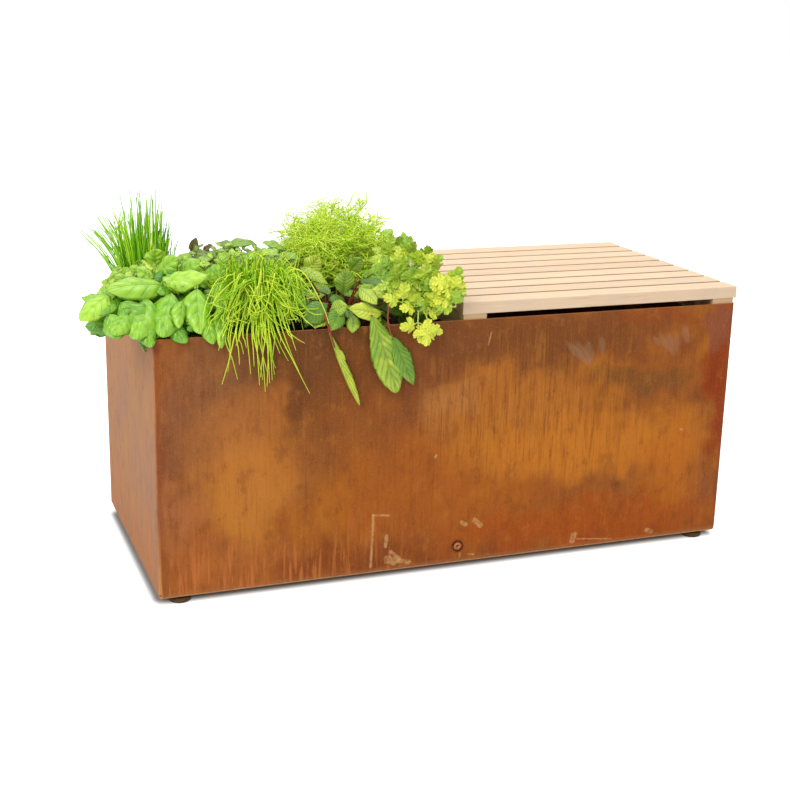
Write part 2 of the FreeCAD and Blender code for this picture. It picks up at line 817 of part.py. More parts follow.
def young_chard():
    """Upright young leaves behind the celery."""
    x, y = spot(chard_place, back_row_y)
    pieces = [crown(x, y, radius=20)]
    # Each leaf's direction, how far out and up it starts, and how steep it stands
    leaves = ((150, 18, 96, 58), (20, 10, 84, 50), (265, 26, 62, 42), (80, 30, 50, 34), (205, 34, 44, 26))
    for azimuth, out, up, pitch in leaves:
        turn = math.radians(azimuth)
        base = vec(x + out * math.cos(turn), y + out * math.sin(turn), soil_top + up)
        pieces.append(stem(x, y, base))
        pieces.append(leaf(base, azimuth, pitch, length=46, width=26))
    return joined(pieces, plant_space(back_row_ends, 3, False))


# Wooden seat


def slat_y(index):
    return -half_width + slat_width / 2 + index * slat_pitch


def screw_profile(clearance):
    """Points of a countersunk wood screw that points up, or of its hole."""
    shank = screw_radius + clearance
    head = screw_head_radius + clearance
    length = screw_length + clearance
    return (
        (0, -clearance), (head, -clearance), (shank, screw_head_depth),
        (shank, length - screw_tip), (0, length),
    )


def rounded_along(solid, radius, level):
    """The slat with its long edges at a height rounded."""
    edges = []
    for edge in solid.Edges:
        bounds = edge.BoundBox
        at_level = abs(bounds.ZMin - level) < tolerance and abs(bounds.ZMax - level) < tolerance
        if at_level and bounds.XLength > seat_length / 2:
            edges.append(edge)
    return solid.makeFillet(radius, edges)


def seat_slat(index):
    """One slat along the seat, its long edges rounded, drilled from below at both battens."""
    y = slat_y(index)
    half = slat_width / 2
    top = slat_bottom + slat_thickness
    solid = block(seat_left, seat_right, y - half, y + half, slat_bottom, top)
    solid = rounded_along(solid, slat_top_round, top)
    solid = rounded_along(solid, slat_under_round, slat_bottom)
    for x in (batten_left_x, batten_right_x):
        start = vec(x + batten_width / 2, y, batten_bottom)
        solid = solid.cut(turned_about_z(screw_profile(screw_clearance), start))
    return solid


def seat_batten(x):
    """Batten under the slats' ends: it stands on the rims and drops between the walls."""
    upper = half_width - batten_end_set_back
    lower = wall_y - (corner_bend - sheet) - batten_side_clearance
    solid = block(x, x + batten_width, -upper, upper, box_height, slat_bottom)
    solid = solid.fuse(block(x, x + batten_width, -lower, lower, batten_bottom, box_height)).removeSplitter()
    for index in range(slat_count):
        start = vec(x + batten_width / 2, slat_y(index), batten_bottom)
        solid = solid.cut(turned_about_z(screw_profile(screw_clearance), start))
    return solid


def seat_screws():
    """Screws driven up through the battens, one at each crossing."""
    screws = []
    for x in (batten_left_x, batten_right_x):
        for index in range(slat_count):
            start = vec(x + batten_width / 2, slat_y(index), batten_bottom)
            screws.append(turned_about_z(screw_profile(0), start))
    return Part.makeCompound(screws)


def export(shape, node):
    if shape.ShapeType == "Compound" and len(shape.Solids) == 1:
        shape = shape.Solids[0]
    shape.exportStep("parts/" + node + ".step")


def main():
    os.makedirs("parts", exist_ok=True)
    export(shell_front(), "shell_front")
    export(shell_back(), "shell_back")
    export(base_plate(), "base_plate")
    export(corner_welds(), "corner_welds")
    export(foot_nuts(), "foot_nuts")
    for name, x, y in foot_places():
        export(foot_stud(x, y), "foot_stud_" + name)
        export(foot_pad(x, y), "foot_pad_" + name)
    export(divider(), "divider")
    export(divider_angle(-1), "divider_angle_front")
    export(divider_angle(1), "divider_angle_back")
    export(divider_rivets(), "divider_rivets")
    export(drain_socket(), "drain_socket")
    export(drain_plug(), "drain_plug")
    export(drain_strainer(), "drain_strainer")
    export(pebbles(), "pebbles")
    export(fleece(), "filter_fleece")
    export(soil(), "soil")
    export(chives(), "chives")
    export(basil(), "basil")
    export(dark_basil(), "dark_basil")
    export(garlic_chives(), "garlic_chives")
    export(dill(), "dill")
    export(red_veined_sorrel(), "red_veined_sorrel")
    export(leaf_celery(), "leaf_celery")
    export(young_chard(), "young_chard")
    for index in range(slat_count):
        export(seat_slat(index), "seat_slat_" + str(index + 1))
    export(seat_batten(batten_left_x), "seat_batten_left")
    export(seat_batten(batten_right_x), "seat_batten_right")
    export(seat_screws(), "seat_screws")


main()
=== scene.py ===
"""Bench with planter: finishes for the steel box and its wooden seat, and the planting in full detail."""
import json
import math
import random
from functools import partial

import bmesh
import bpy
from mathutils import Matrix, Vector

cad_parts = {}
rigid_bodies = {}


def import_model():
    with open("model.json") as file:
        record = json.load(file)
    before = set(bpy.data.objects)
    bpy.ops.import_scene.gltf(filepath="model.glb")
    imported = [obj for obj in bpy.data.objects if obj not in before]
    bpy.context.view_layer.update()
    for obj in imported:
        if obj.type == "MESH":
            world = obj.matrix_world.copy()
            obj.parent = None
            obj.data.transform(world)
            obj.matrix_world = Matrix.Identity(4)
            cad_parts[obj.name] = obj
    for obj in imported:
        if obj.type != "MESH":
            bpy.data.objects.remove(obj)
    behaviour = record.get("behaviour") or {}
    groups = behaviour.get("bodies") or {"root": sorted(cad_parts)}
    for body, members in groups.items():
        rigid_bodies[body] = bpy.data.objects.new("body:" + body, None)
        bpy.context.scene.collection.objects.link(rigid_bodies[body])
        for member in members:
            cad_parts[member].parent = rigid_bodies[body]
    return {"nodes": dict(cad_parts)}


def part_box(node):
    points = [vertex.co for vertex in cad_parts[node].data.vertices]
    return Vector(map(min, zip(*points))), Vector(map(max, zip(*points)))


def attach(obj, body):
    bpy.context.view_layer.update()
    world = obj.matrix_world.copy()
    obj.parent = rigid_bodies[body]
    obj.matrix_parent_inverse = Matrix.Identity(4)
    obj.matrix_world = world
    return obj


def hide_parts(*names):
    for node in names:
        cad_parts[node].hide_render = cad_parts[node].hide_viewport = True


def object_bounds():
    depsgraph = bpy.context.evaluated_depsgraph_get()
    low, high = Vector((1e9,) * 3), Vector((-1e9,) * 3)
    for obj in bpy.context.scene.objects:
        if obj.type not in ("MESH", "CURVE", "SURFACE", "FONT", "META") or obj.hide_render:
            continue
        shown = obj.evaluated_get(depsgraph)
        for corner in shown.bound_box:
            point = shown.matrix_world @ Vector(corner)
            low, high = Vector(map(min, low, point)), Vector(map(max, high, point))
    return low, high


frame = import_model()
NODES = frame["nodes"]
cad_low, cad_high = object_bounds()

MM = 0.001
TURN = 2 * math.pi
# From one leaf or blade to the next round a stem, in radians
SPIRAL = 2.39996
# Where stalks start in the soil, in millimetres
SOIL = 385
# The celery's leaves end before this x, beside the seat
SEAT_GAP = -0.010

# Faces of the box and places of its slats, in metres, from the frame
LEFT, FRONT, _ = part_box("shell_front")[0]
RIGHT, BACK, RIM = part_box("shell_front")[1]
FLOOR = cad_low[2]
SLAT_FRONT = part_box("seat_slat_1")[0].y
SLAT_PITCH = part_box("seat_slat_2")[0].y - SLAT_FRONT
SLAT_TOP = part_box("seat_slat_1")[1].z
# How deep behind a sheet's face its finish reaches
SKIN_DEPTH = 0.0015

# The photograph's camera, solved from the box's corners: angles in degrees, place in metres, sizes in pixels
CAMERA_TURN, CAMERA_RISE, CAMERA_ROLL = -20.6458, 16.0633, 1.2669
CAMERA_PLACE = (-0.87146, -2.22677, 0.91652)
FOCAL_LENGTH, PHOTO_WIDTH = 1405.83, 790
# Blender's own sensor, in millimetres
SENSOR_WIDTH = 36.0


def linear(code):
    """A colour written as sRGB hex, as linear red, green, blue and alpha."""
    parts = [int(code[i:i + 2], 16) / 255 for i in (0, 2, 4)]
    return tuple(p / 12.92 if p <= 0.04045 else ((p + 0.055) / 1.055) ** 2.4 for p in parts) + (1.0,)


# Plain words for the nodes that recur: Blender's name for each, and its settings
KINDS = {
    "coordinates": ("ShaderNodeTexCoord", {}),
    "mapping": ("ShaderNodeMapping", {}),
    "noise": ("ShaderNodeTexNoise", {}),
    "split": ("ShaderNodeSeparateXYZ", {}),
    "ramp": ("ShaderNodeValToRGB", {}),
    "mix": ("ShaderNodeMix", {"data_type": "RGBA"}),
    "bump": ("ShaderNodeBump", {}),
    "light path": ("ShaderNodeLightPath", {}),
    "stored": ("GeometryNodeInputNamedAttribute", {}),
    # A smooth step: its value, where it starts and ends, and what it goes from and to, 0 and 1 if not given
    "step": ("ShaderNodeMapRange", {"interpolation_type": "SMOOTHSTEP"}),
}
for kind, words in (
    ("ShaderNodeMath", {
        "plus": "ADD", "minus": "SUBTRACT", "times": "MULTIPLY", "over": "DIVIDE", "size": "ABSOLUTE",
        "larger": "MAXIMUM", "root": "SQRT", "sine": "SINE", "whole": "FLOOR",
    }),
    ("ShaderNodeVectorMath", {
        "shifted": "ADD", "offset": "SUBTRACT", "spread": "MULTIPLY_ADD", "dot": "DOT_PRODUCT",
        "scaled": "SCALE", "distance": "DISTANCE",
    }),
):
    for word, operation in words.items():
        KINDS[word] = (kind, {"operation": operation})


def feed(socket, value):
    """Gives an input a link, a value, or a colour written as sRGB hex."""
    if isinstance(value, bpy.types.NodeSocket):
        socket.id_data.links.new(value, socket)
    elif socket.type == "RGBA" and isinstance(value, str):
        socket.default_value = linear(value)
    else:
        socket.default_value = value


def add_node(tree, kind, *values, stops=(), **named):
    """Adds a node and gives back its first output. kind is a word in KINDS or Blender's own name.
    The values feed its inputs in order, names with a capital feed an input, and small ones are settings.
    A colour ramp also gets its stops, as (position, sRGB hex)."""
    own_name, settings = KINDS.get(kind, (kind, {}))
    node = tree.nodes.new(own_name)
    for name, value in {**settings, **named}.items():
        if name[0].islower():
            setattr(node, name, value)
    inputs = [socket for socket in node.inputs if socket.enabled]
    for socket, value in zip(inputs, values):
        feed(socket, value)
    for socket in inputs:
        if socket.name in named:
            feed(socket, named[socket.name])
    for k, (position, code) in enumerate(stops):
        band = node.color_ramp.elements
        element = band[k] if k < len(band) else band.new(position)
        element.position = position
        element.color = linear(code)
    return next(socket for socket in node.outputs if socket.enabled)


def blank_finish(name):
    """An empty material, what adds nodes to it, and the object's own coordinates, in the frame's metres."""
    material = bpy.data.materials.new(name)
    material.use_nodes = True
    add = partial(add_node, material.node_tree)
    return material, add, add("coordinates").node.outputs["Object"]


def clouds(add, place, *patterns):
    """Noise patterns, drawn out along an axis where its share is small. Each is its share along x, y and z,
    and its scale, detail, roughness and distortion."""
    made = []
    for shares, scale, detail, roughness, bend in patterns:
        where = add("mapping", place, Scale=shares)
        made.append(add("noise", where, scale, detail, roughness, Distortion=bend))
    return made


def blended(add, first, share_1, second, share_2):
    """The sum of two values by their shares."""
    return add("plus", add("times", first, share_1), add("times", second, share_2))


def painted(add, colour, *coats):
    """The colour with others over it, one after another. Each coat is its sRGB hex, the pattern that it
    follows, where that starts and where it is full, its share there, and the area that it keeps to."""
    for code, pattern, low, high, share, area in coats:
        cover = add("times", add("step", pattern, low, high, 0.0, share), area)
        colour = add("mix", cover, colour, code)
    return colour


def coat(material, colour, roughness, specular, metallic=0.0, height=None, depth=0.0, strength=0.0):
    """Gives the material's shader its colour and gloss, and a relief by height, depth and strength."""
    inputs = material.node_tree.nodes["Principled BSDF"].inputs
    feed(inputs["Base Color"], colour)
    feed(inputs["Roughness"], roughness)
    feed(inputs["Specular IOR Level"], specular)
    feed(inputs["Metallic"], metallic)
    if height:
        bump = add_node(material.node_tree, "bump", Height=height, Distance=depth, Strength=strength)
        feed(inputs["Normal"], bump)
    return material


def oval(add, x, z, centre_x, centre_z, wide, high, lean=0.0):
    """How far a place is from a patch's middle, squared, where 1 is the patch's edge."""
    off_z = add("minus", z, centre_z)
    off_x = add("plus", add("minus", x, centre_x), add("times", off_z, lean))
    across = add("over", off_x, wide)
    up = add("over", off_z, high)
    return blended(add, across, across, up, up)


# Clouds on the front sheet, of patina and of painted shade: x, z, half width, half height (metres), colour,
# share
FRONT_CLOUDS = {
    # The next two are painted shade under the plants that hang over the rim
    "painted_shade_under_plants": (-0.22, 0.37, 0.25, 0.09, "5C3A1E", 0.90),
    "painted_shade_at_planter_right": (-0.03, 0.370, 0.11, 0.05, "7A4722", 0.80),
    "brown_middle": (-0.15, 0.27, 0.18, 0.12, "8A4C20", 0.70),
    "soot_middle": (-0.272, 0.27, 0.05, 0.13, "6E3E1E", 0.70),
    "left_edge_shade": (-0.482, 0.25, 0.026, 0.16, "7A4630", 0.60),
    "left_corner_rust": (-0.475, 0.385, 0.03, 0.04, "A65E24", 0.65),
    "mauve_left": (-0.41, 0.31, 0.08, 0.16, "8C5A36", 0.70),
    "amber_left": (-0.365, 0.16, 0.07, 0.10, "C47E28", 0.85),
    "orange_left": (-0.345, 0.22, 0.10, 0.12, "B66E2E", 0.65),
    "red_low_left": (-0.40, 0.035, 0.13, 0.065, "B0642C", 0.75),
    "orange_centre": (-0.02, 0.13, 0.20, 0.11, "AA5A18", 0.80),
    "amber_under_seat": (0.10, 0.25, 0.16, 0.11, "B46C24", 0.90),
    "amber_right": (0.24, 0.185, 0.23, 0.06, "C67620", 0.90),
    # Painted shade under the seat's edge
    "painted_shade_under_seat": (0.17, 0.375, 0.20, 0.045, "75421E", 0.90),
    "rust_under_seat_right": (0.37, 0.40, 0.10, 0.02, "94451A", 0.70),
    "olive_band": (0.33, 0.295, 0.10, 0.028, "774A20", 0.80),
    "rust_right_edge": (0.488, 0.27, 0.036, 0.15, "8E3208", 0.95),
    "mauve_top_right": (0.475, 0.375, 0.03, 0.045, "8C503C", 0.80),
    "violet_low_right": (0.455, 0.10, 0.030, 0.06, "864A30", 0.50),
    "red_low_right": (0.24, 0.040, 0.27, 0.05, "A64C10", 0.85),
    "amber_low_right": (0.40, 0.13, 0.07, 0.07, "BE6A1A", 0.80),
    "orange_low_left_edge": (-0.462, 0.125, 0.040, 0.055, "B26C3A", 0.70),
    "dark_run_left": (-0.278, 0.296, 0.026, 0.050, "5E3418", 0.85),
    "tan_centre": (-0.03, 0.285, 0.055, 0.045, "B4743A", 0.75),
    "red_low_centre": (-0.19, 0.02, 0.16, 0.032, "844018", 0.80),
}

# Grey splashes that ran down the sheet below the seat: x, z, half width, half height, lean
SPLASHES = (
    (0.200, 0.350, 0.009, 0.016, 0.9), (0.214, 0.345, 0.009, 0.020, 0.6), (0.226, 0.346, 0.007, 0.018, 0.2),
    (0.248, 0.358, 0.006, 0.014, 0.1), (0.352, 0.358, 0.006, 0.008, 0.7), (0.368, 0.354, 0.006, 0.017, 0.6),
    (0.380, 0.351, 0.006, 0.020, 0.3), (0.391, 0.354, 0.005, 0.018, 0.1), (0.408, 0.366, 0.007, 0.016, 0.3),
)

# Pale lime and scratch marks: x, z of both ends, half width
SCRATCHES = (
    (-0.153, 0.012, -0.150, 0.101, 0.0022), (-0.150, 0.101, -0.124, 0.098, 0.0018),
    (-0.128, 0.045, -0.126, 0.062, 0.0030), (-0.124, 0.022, -0.112, 0.016, 0.0060),
    (-0.119, 0.034, -0.104, 0.020, 0.0030), (0.030, 0.072, 0.040, 0.062, 0.0042),
    (0.006, 0.071, 0.014, 0.066, 0.0030), (0.214, 0.014, 0.217, 0.024, 0.0050),
    (0.360, 0.016, 0.368, 0.013, 0.0040), (-0.045, 0.190, -0.043, 0.193, 0.0020),
    (0.412, 0.197, 0.416, 0.196, 0.0018), (0.041, 0.372, 0.046, 0.392, 0.0010),
    (-0.104, 0.016, -0.086, 0.012, 0.0036), (0.222, 0.016, 0.290, 0.008, 0.0012),
    (0.0045, 0.010, 0.0043, 0.016, 0.0011), (0.020, 0.0130, 0.030, 0.0110, 0.0013),
)


def weathering_steel():
    """Weathering steel rusted outdoors: a matt patina in brown, amber and red clouds, streaked by rain."""
    material, add, place = blank_finish("weathering_steel_rusted")
    x, y, z = add("split", place).node.outputs
    cloud, wisp, mark, mottle, streak, run, blotch, grain, ragged, torn, drift = clouds(
        add, place,
        ((1, 1, 1), 7.0, 4.0, 0.55, 0.4),
        ((1, 1, 0.45), 34.0, 5.0, 0.6, 0.0),
        # Soft rain marks 4 to 8 mm wide, mottles, and rain streaks and runs 1 to 3 mm wide and a hand long
        ((1, 1, 0.10), 130.0, 4.0, 0.65, 0.3),
        ((1, 1, 0.6), 48.0, 4.0, 0.65, 0.0),
        ((1, 1, 0.03), 420.0, 3.0, 0.65, 0.0),
        ((1, 1, 0.07), 150.0, 3.0, 0.6, 0.0),
        # Spots and blotches a few millimetres wide, and rust grain under one, drawn at 1 mm so that it shows
        ((1, 1, 1), 120.0, 4.0, 0.7, 0.0),
        ((1, 1, 1), 900.0, 2.0, 0.6, 0.0),
        # What tears the scratches' edges, and what shifts the clouds
        ((1, 1, 1), 160.0, 3.0, 0.7, 0.0),
        ((1, 1, 1), 110.0, 3.0, 0.6, 0.0),
        ((1, 1, 1), 14.0, 4.0, 0.5, 0.0),
    )
    patina = blended(add, cloud, 0.62, wisp, 0.38)
    colour = add("ramp", patina, stops=(
        (0.30, "703A18"), (0.42, "87481C"), (0.50, "98541F"), (0.58, "A45E1E"), (0.70, "B26C20"),
    ))
    # The clouds lie on the front sheet, and mirrored on the back one
    front = add("step", y, FRONT + SKIN_DEPTH, FRONT + SKIN_DEPTH / 8)
    back = add("step", y, BACK - SKIN_DEPTH, BACK - SKIN_DEPTH / 8)
    shift = add("offset", drift.node.outputs["Color"], (0.5, 0.5, 0.5))
    warp_x, _, warp_z = add("split", add("spread", shift, (0.10, 0.0, 0.15), place)).node.outputs
    sheet_x = add("times", warp_x, add("step", back, 0.0, 1.0, 1.0, -1.0))
    broken = add("step", mark, 0.36, 0.56, 0.82, 1.0)
    sheets = add("times", add("larger", front, back), broken)
    colour = painted(add, colour, *[(code, oval(add, sheet_x, warp_z, *patch), 1.6, 0.0, share, sheets)
                                     for *patch, code, share in FRONT_CLOUDS.values()])
    # Both ends paler and pinker towards the top: partly pinkish dust on the rust, partly a painted sheen
    sideways = add("size", x)
    end = add("step", sideways, RIGHT - SKIN_DEPTH * 2, RIGHT - SKIN_DEPTH / 3)
    end_dust_and_sheen_tone = add("ramp", patina, stops=((0.34, "9A6A48"), (0.50, "B08058"), (0.66, "BC8E64")))
    end_dust_and_sheen = add("times", end, add("step", z, 0.0, 0.30, 0.62, 0.85))
    colour = add("mix", end_dust_and_sheen, colour, end_dust_and_sheen_tone)
    # Rain marks show most in the middle of the front, at the ends' tops beside the corner, and low at left
    rained = add("step", oval(add, sheet_x, warp_z, 0.12, 0.27, 0.22, 0.13), 1.2, 0.2, 0.34, 1.0)
    corner_side = add("times", end, add("step", y, FRONT + 0.06, FRONT + 0.01))
    corner_top = add("times", corner_side, add("step", z, 0.12, 0.40))
    low_left = add("times", add("step", z, 0.12, 0.02), add("step", x, 0.05, -0.25))
    colour = painted(
        add, colour,
        ("6A3414", mark, 0.50, 0.34, 0.34, rained),
        ("C47E38", mark, 0.54, 0.72, 0.34, rained),
        ("70381A", mottle, 0.48, 0.32, 0.34, 1.0),
        ("BE762E", mottle, 0.54, 0.70, 0.26, 1.0),
        # Orange runs beside the corner, and a red line down the bend itself
        ("A8683A", mark, 0.44, 0.56, 0.60, corner_top),
        ("8A4424", sideways, RIGHT - 0.012, RIGHT - 0.003, 0.60, front),
        ("5A2C12", streak, 0.46, 0.30, 0.55, rained),
        ("BE7A30", streak, 0.56, 0.72, 0.42, rained),
        ("C27036", run, 0.50, 0.64, 0.80, low_left),
        ("B87434", blotch, 0.58, 0.72, 0.35, 1.0),
        ("5E3014", blotch, 0.42, 0.28, 0.35, 1.0),
        ("D09048", grain, 0.56, 0.70, 0.22, 1.0),
        ("54290F", grain, 0.44, 0.30, 0.25, 1.0),
        *[("A07C60", oval(add, x, z, *splash), 1.7, 0.3, 0.30, front) for splash in SPLASHES],
    )
    torn_front = add("times", front, add("step", torn, 0.30, 0.58, 0.25, 1.0))
    flat = add("mapping", place, Scale=(1, 0, 1))
    for x1, z1, x2, z2, half_width in SCRATCHES:
        length = Vector((x2 - x1, 0, z2 - z1))
        off = add("offset", flat, (x1, 0, z1))
        along = add("ShaderNodeClamp", add("dot", off, length / length.length_squared))
        far = add("distance", off, add("scaled", length, along))
        inside = add("minus", add("times", ragged, half_width * 2.2), far)
        colour = painted(add, colour, ("CE9E66", inside, -0.0010, 0.0014, 0.68, torn_front))
    # The lower bend is paler, the cut edges and the front left corner's foot are rubbed bright
    wander = add("plus", z, add("times", ragged, 0.004))
    corner = add("step", add("plus", x, y), LEFT + FRONT + 0.0055, LEFT + FRONT + 0.0035)
    colour = painted(
        add, colour,
        # The next two are a painted highlight: the lower bend is painted paler where its round catches light
        # from the floor
        ("A87048", wander, 0.0125, 0.0085, 0.32, 1.0),
        ("CC9C66", wander, 0.0062, 0.0040, 0.80, 1.0),
        ("C89058", z, 0.14, 0.01, 0.70, corner),
        ("A87048", z, RIM - 0.0012, RIM - 0.0002, 0.60, 1.0),
    )
    rough = add("step", patina, 0.35, 0.65, 0.6, 0.78)
    crust = blended(add, grain, 0.6, blotch, 0.4)
    return coat(material, colour, rough, 0.15, height=crust, depth=0.0005, strength=0.6)


def planed_wood(name, light, dark, grey, gap):
    """Planed larch dried in the sun: fine grain along the slat, matt and pale, with painted shade in the
    gaps.
    """
    material, add, place = blank_finish(name)
    x, y, z = add("split", place).node.outputs
    # Each slat has its own stretch of grain and its own tone, which change in the gap, 3 mm before the slat
    slats = add("over", add("minus", y, SLAT_FRONT - 0.003), SLAT_PITCH)
    toss = add("ShaderNodeTexWhiteNoise", add("whole", slats), noise_dimensions="1D")
    slide = add("ShaderNodeCombineXYZ", add("times", toss, 7.0), 0.0, toss)
    # Growth bands 3 to 6 mm apart, pores under a millimetre, and patches gone grey
    band, pore, patch = clouds(
        add, add("shifted", place, slide),
        ((0.045, 1, 1), 190.0, 3.0, 0.55, 0.3),
        ((0.02, 1, 1), 1100.0, 2.0, 0.5, 0.0),
        ((1, 0.3, 0.3), 16.0, 2.0, 0.5, 0.0),
    )
    colour = add("ramp", band, stops=((0.26, dark), (0.44, light), (0.60, light), (0.80, dark)))
    colour = painted(add, colour, (dark, pore, 0.52, 0.36, 0.25, 1.0), (grey, patch, 0.44, 0.62, 0.45, 1.0))
    value = add("plus", 0.93, add("times", toss, 0.09))
    colour = add("ShaderNodeHueSaturation", Color=colour, Value=value)
    # Painted shade darkens the sides between the slats, but not the front face or the ends
    behind = add("step", y, SLAT_FRONT + 0.0010, SLAT_FRONT + 0.0020)
    shaded_sides = add("times", behind, add("step", x, RIGHT + 0.0008, RIGHT - 0.0002))
    colour = painted(add, colour, (gap, z, SLAT_TOP - 0.0004, SLAT_TOP - 0.0013, 0.85, shaded_sides))
    grain = blended(add, band, 0.6, pore, 0.4)
    return coat(material, colour, 0.65, 0.25, height=grain, depth=0.0003, strength=0.5)


def speckled(name, roughness, stops, scale, metallic=0.0, depth=0.0003):
    """A grainy finish: a cloud of the given colours, with its own fine relief."""
    material, add, place = blank_finish(name)
    colour = add("ramp", add("noise", place, scale, 4.0, 0.6), stops=stops)
    grit = add("noise", place, scale * 3, 3.0, 0.6)
    return coat(material, colour, roughness, 0.15, metallic, grit, depth, 0.7)


def green_tone(add, patch, share, dark, middle, light, more=0.0):
    """A green from dark to light by each leaf's or blade's own shade, in patches, and lighter by more."""
    shade = add("ShaderNodeAttribute", attribute_name="shade").node.outputs["Fac"]
    tone = add("plus", shade, add("times", add("minus", patch, 0.5), share))
    tone = add("plus", tone, more)
    return add("ramp", tone, stops=((0.10, dark), (0.50, middle), (0.90, light)))


def leaf_skin(name, dark, middle, light, vein, roughness, vein_share, pairs, mottle):
    """A living leaf: waxy skin over green flesh, with its midrib and side veins in their own tone.
    The veins are drawn about 1.5 mm wide, coarser than real ones, so that they show."""
    material, add, place = blank_finish(name)
    across, along, _ = add("split", add("ShaderNodeUVMap", uv_map="leaf")).node.outputs
    side = add("size", add("minus", across, 0.5))
    patch = add("noise", place, mottle, 3.0, 0.6)
    slant = add("minus", along, add("times", side, 0.56))
    beat = add("size", add("sine", add("times", slant, pairs * math.pi)))
    lateral = add("times", add("step", beat, 0.42, 0.12), add("step", side, 0.48, 0.30))
    rib = add("step", side, 0.060, 0.025)
    veins = add("larger", rib, add("times", lateral, 0.7))
    # Painted highlight: the flesh is painted brighter where it bulges between the veins
    bright = add("times", add("minus", beat, 0.5), 0.12)
    colour = green_tone(add, patch, 0.6, dark, middle, light, bright)
    colour = add("mix", add("times", veins, vein_share), colour, vein)
    height = add("minus", blended(add, patch, 0.3, beat, 0.4), add("times", veins, 0.6))
    return coat(material, colour, roughness, 0.5, height=height, depth=0.0016, strength=0.6)


def blade_skin(name, dark, middle, light, roughness):
    """A grassy blade or stalk: smooth and waxy, each with its own green."""
    material, add, place = blank_finish(name)
    colour = green_tone(add, add("noise", place, 45.0, 3.0, 0.6), 0.5, dark, middle, light)
    ribs = add("noise", place, 900.0, 2.0, 0.5)
    return coat(material, colour, roughness, 0.35, height=ribs, depth=0.0002, strength=0.4)


# Shapes: leaves, blades and how they are laid on a plant

# Powers that bend and blunt each leaf's outline, from its base to its tip
OUTLINES = {"egg": (0.80, 0.62), "lance": (0.95, 0.90), "spoon": (1.20, 0.60), "round": (1.0, 0.50)}
LEAF_THICKNESS = 0.0006
# The share of its curl by which a listed leaf is tipped up, so that its tip comes near its place
CURL_TILT = 0.42


def leaf_shape(bm, draw, frame_at, length, width, kind, cup, curl, shade, rows=10, columns=6, pairs=4,
               fold=0.0, crease=0.05, pucker=0.03, ripple=0.05):
    """Adds one leaf, a thin closed lens: Y along the midrib, Z up from its upper side, placed by a matrix.
    cup lowers its sides and fold lifts them, curl bends it down along its length, crease sinks its midrib,
    pucker lifts it between its pairs of veins, and ripple waves its edge."""
    uv_layer = bm.loops.layers.uv.get("leaf") or bm.loops.layers.uv.new("leaf")
    tone = bm.verts.layers.float.get("shade") or bm.verts.layers.float.new("shade")
    bend, blunt = OUTLINES[kind]
    phase = draw(0, 6)
    shares = [0.5 * i / rows + 0.25 * (1 - math.cos(math.pi * i / rows)) for i in range(rows + 1)]
    spine = [(0.0, 0.0)]
    for t0, t1 in zip(shares, shares[1:]):
        angle = curl * ((t0 + t1) / 2) ** 1.2
        step = length * (t1 - t0)
        spine.append((spine[-1][0] + step * math.cos(angle), spine[-1][1] - step * math.sin(angle)))
    verts = {}

    def key(i, j, face):
        if i in (0, rows):
            return (i,)
        return (i, j) if j in (0, columns) else (i, j, face)

    for face in (0, 1):
        for i, t in enumerate(shares):
            forward, fall = spine[i]
            angle = curl * t ** 1.2
            wide = width * max(0.0, math.sin(math.pi * t ** bend)) ** blunt
            for j in range(columns + 1):
                here = key(i, j, face)
                if here in verts:
                    continue
                s = 0.0 if len(here) == 1 else 2 * j / columns - 1
                vein = abs(math.sin(math.pi * pairs * (t - 0.28 * abs(s)))) - 0.5
                midrib = math.exp(-(s / 0.22) ** 2)
                lift = wide * (fold * abs(s) - 0.5 * cup * s * s - crease * midrib + pucker * vein)
                lift += ripple * width * s * s * math.sin(TURN * 2.5 * t + phase + (1.3 if s > 0 else 0))
                if len(here) == 3 and face:
                    lift -= LEAF_THICKNESS
                ahead, up = forward + lift * math.sin(angle), fall + lift * math.cos(angle)
                vert = bm.verts.new(frame_at @ Vector((s * wide / 2, ahead, up)))
                vert[tone] = shade + 0.12 * (t - 0.5)
                verts[here] = vert
    for face in (0, 1):
        for i in range(rows):
            for j in range(columns):
                ring = [(i, j), (i, j + 1), (i + 1, j + 1), (i + 1, j)]
                if i == 0:
                    ring = [(0, j), (1, j + 1), (1, j)]
                if i == rows - 1:
                    ring = [(i, j), (i, j + 1), (rows, j)]
                if face:
                    ring.reverse()
                made = bm.faces.new([verts[key(a, b, face)] for a, b in ring])
                made.smooth = True
                for loop, (a, b) in zip(made.loops, ring):
                    loop[uv_layer].uv = (b / columns if 0 < a < rows else 0.5, shares[a])


def mm(*values):
    """Millimetres as a vector in metres."""
    return Vector(values) * MM


def heading(turn, rise=0.0):
    """A direction by its turn about Z and its rise above level."""
    return Vector((math.cos(turn) * math.cos(rise), math.sin(turn) * math.cos(rise), math.sin(rise)))


def spiral(count):
    """Turns about a crown, with shares of its radius, that spread a plant's parts evenly."""
    return [(k * SPIRAL, math.sqrt((k + 0.5) / count)) for k in range(count)]


def aimed(base, tip, face=(0, 0, 1), curl=0.0):
    """A matrix at base whose Y looks to tip and whose Z is as near to face as it can be, and the distance.
    A leaf with a curl is tipped up by it."""
    along = (tip - base).normalized()
    across = along.cross(Vector(face))
    if across.length < 1e-6:
        across = along.cross(Vector((0, 1, 0.1)))
    across.normalize()
    turn = Matrix((across, along, across.cross(along))).transposed().to_4x4()
    tilt = Matrix.Rotation(curl * CURL_TILT, 4, "X")
    return Matrix.Translation(base) @ turn @ tilt, (tip - base).length


def arc(foot, tip, bow, steps, sag=0.0):
    """Points of a bent path from foot to tip: bow is its middle control point's offset from the chord."""
    middle = (foot + tip) / 2 + bow
    path = []
    for i in range(steps + 1):
        t = i / steps
        point = foot * (1 - t) ** 2 + middle * 2 * t * (1 - t) + tip * t * t
        point.z -= sag * t * t * t
        path.append(point)
    return path


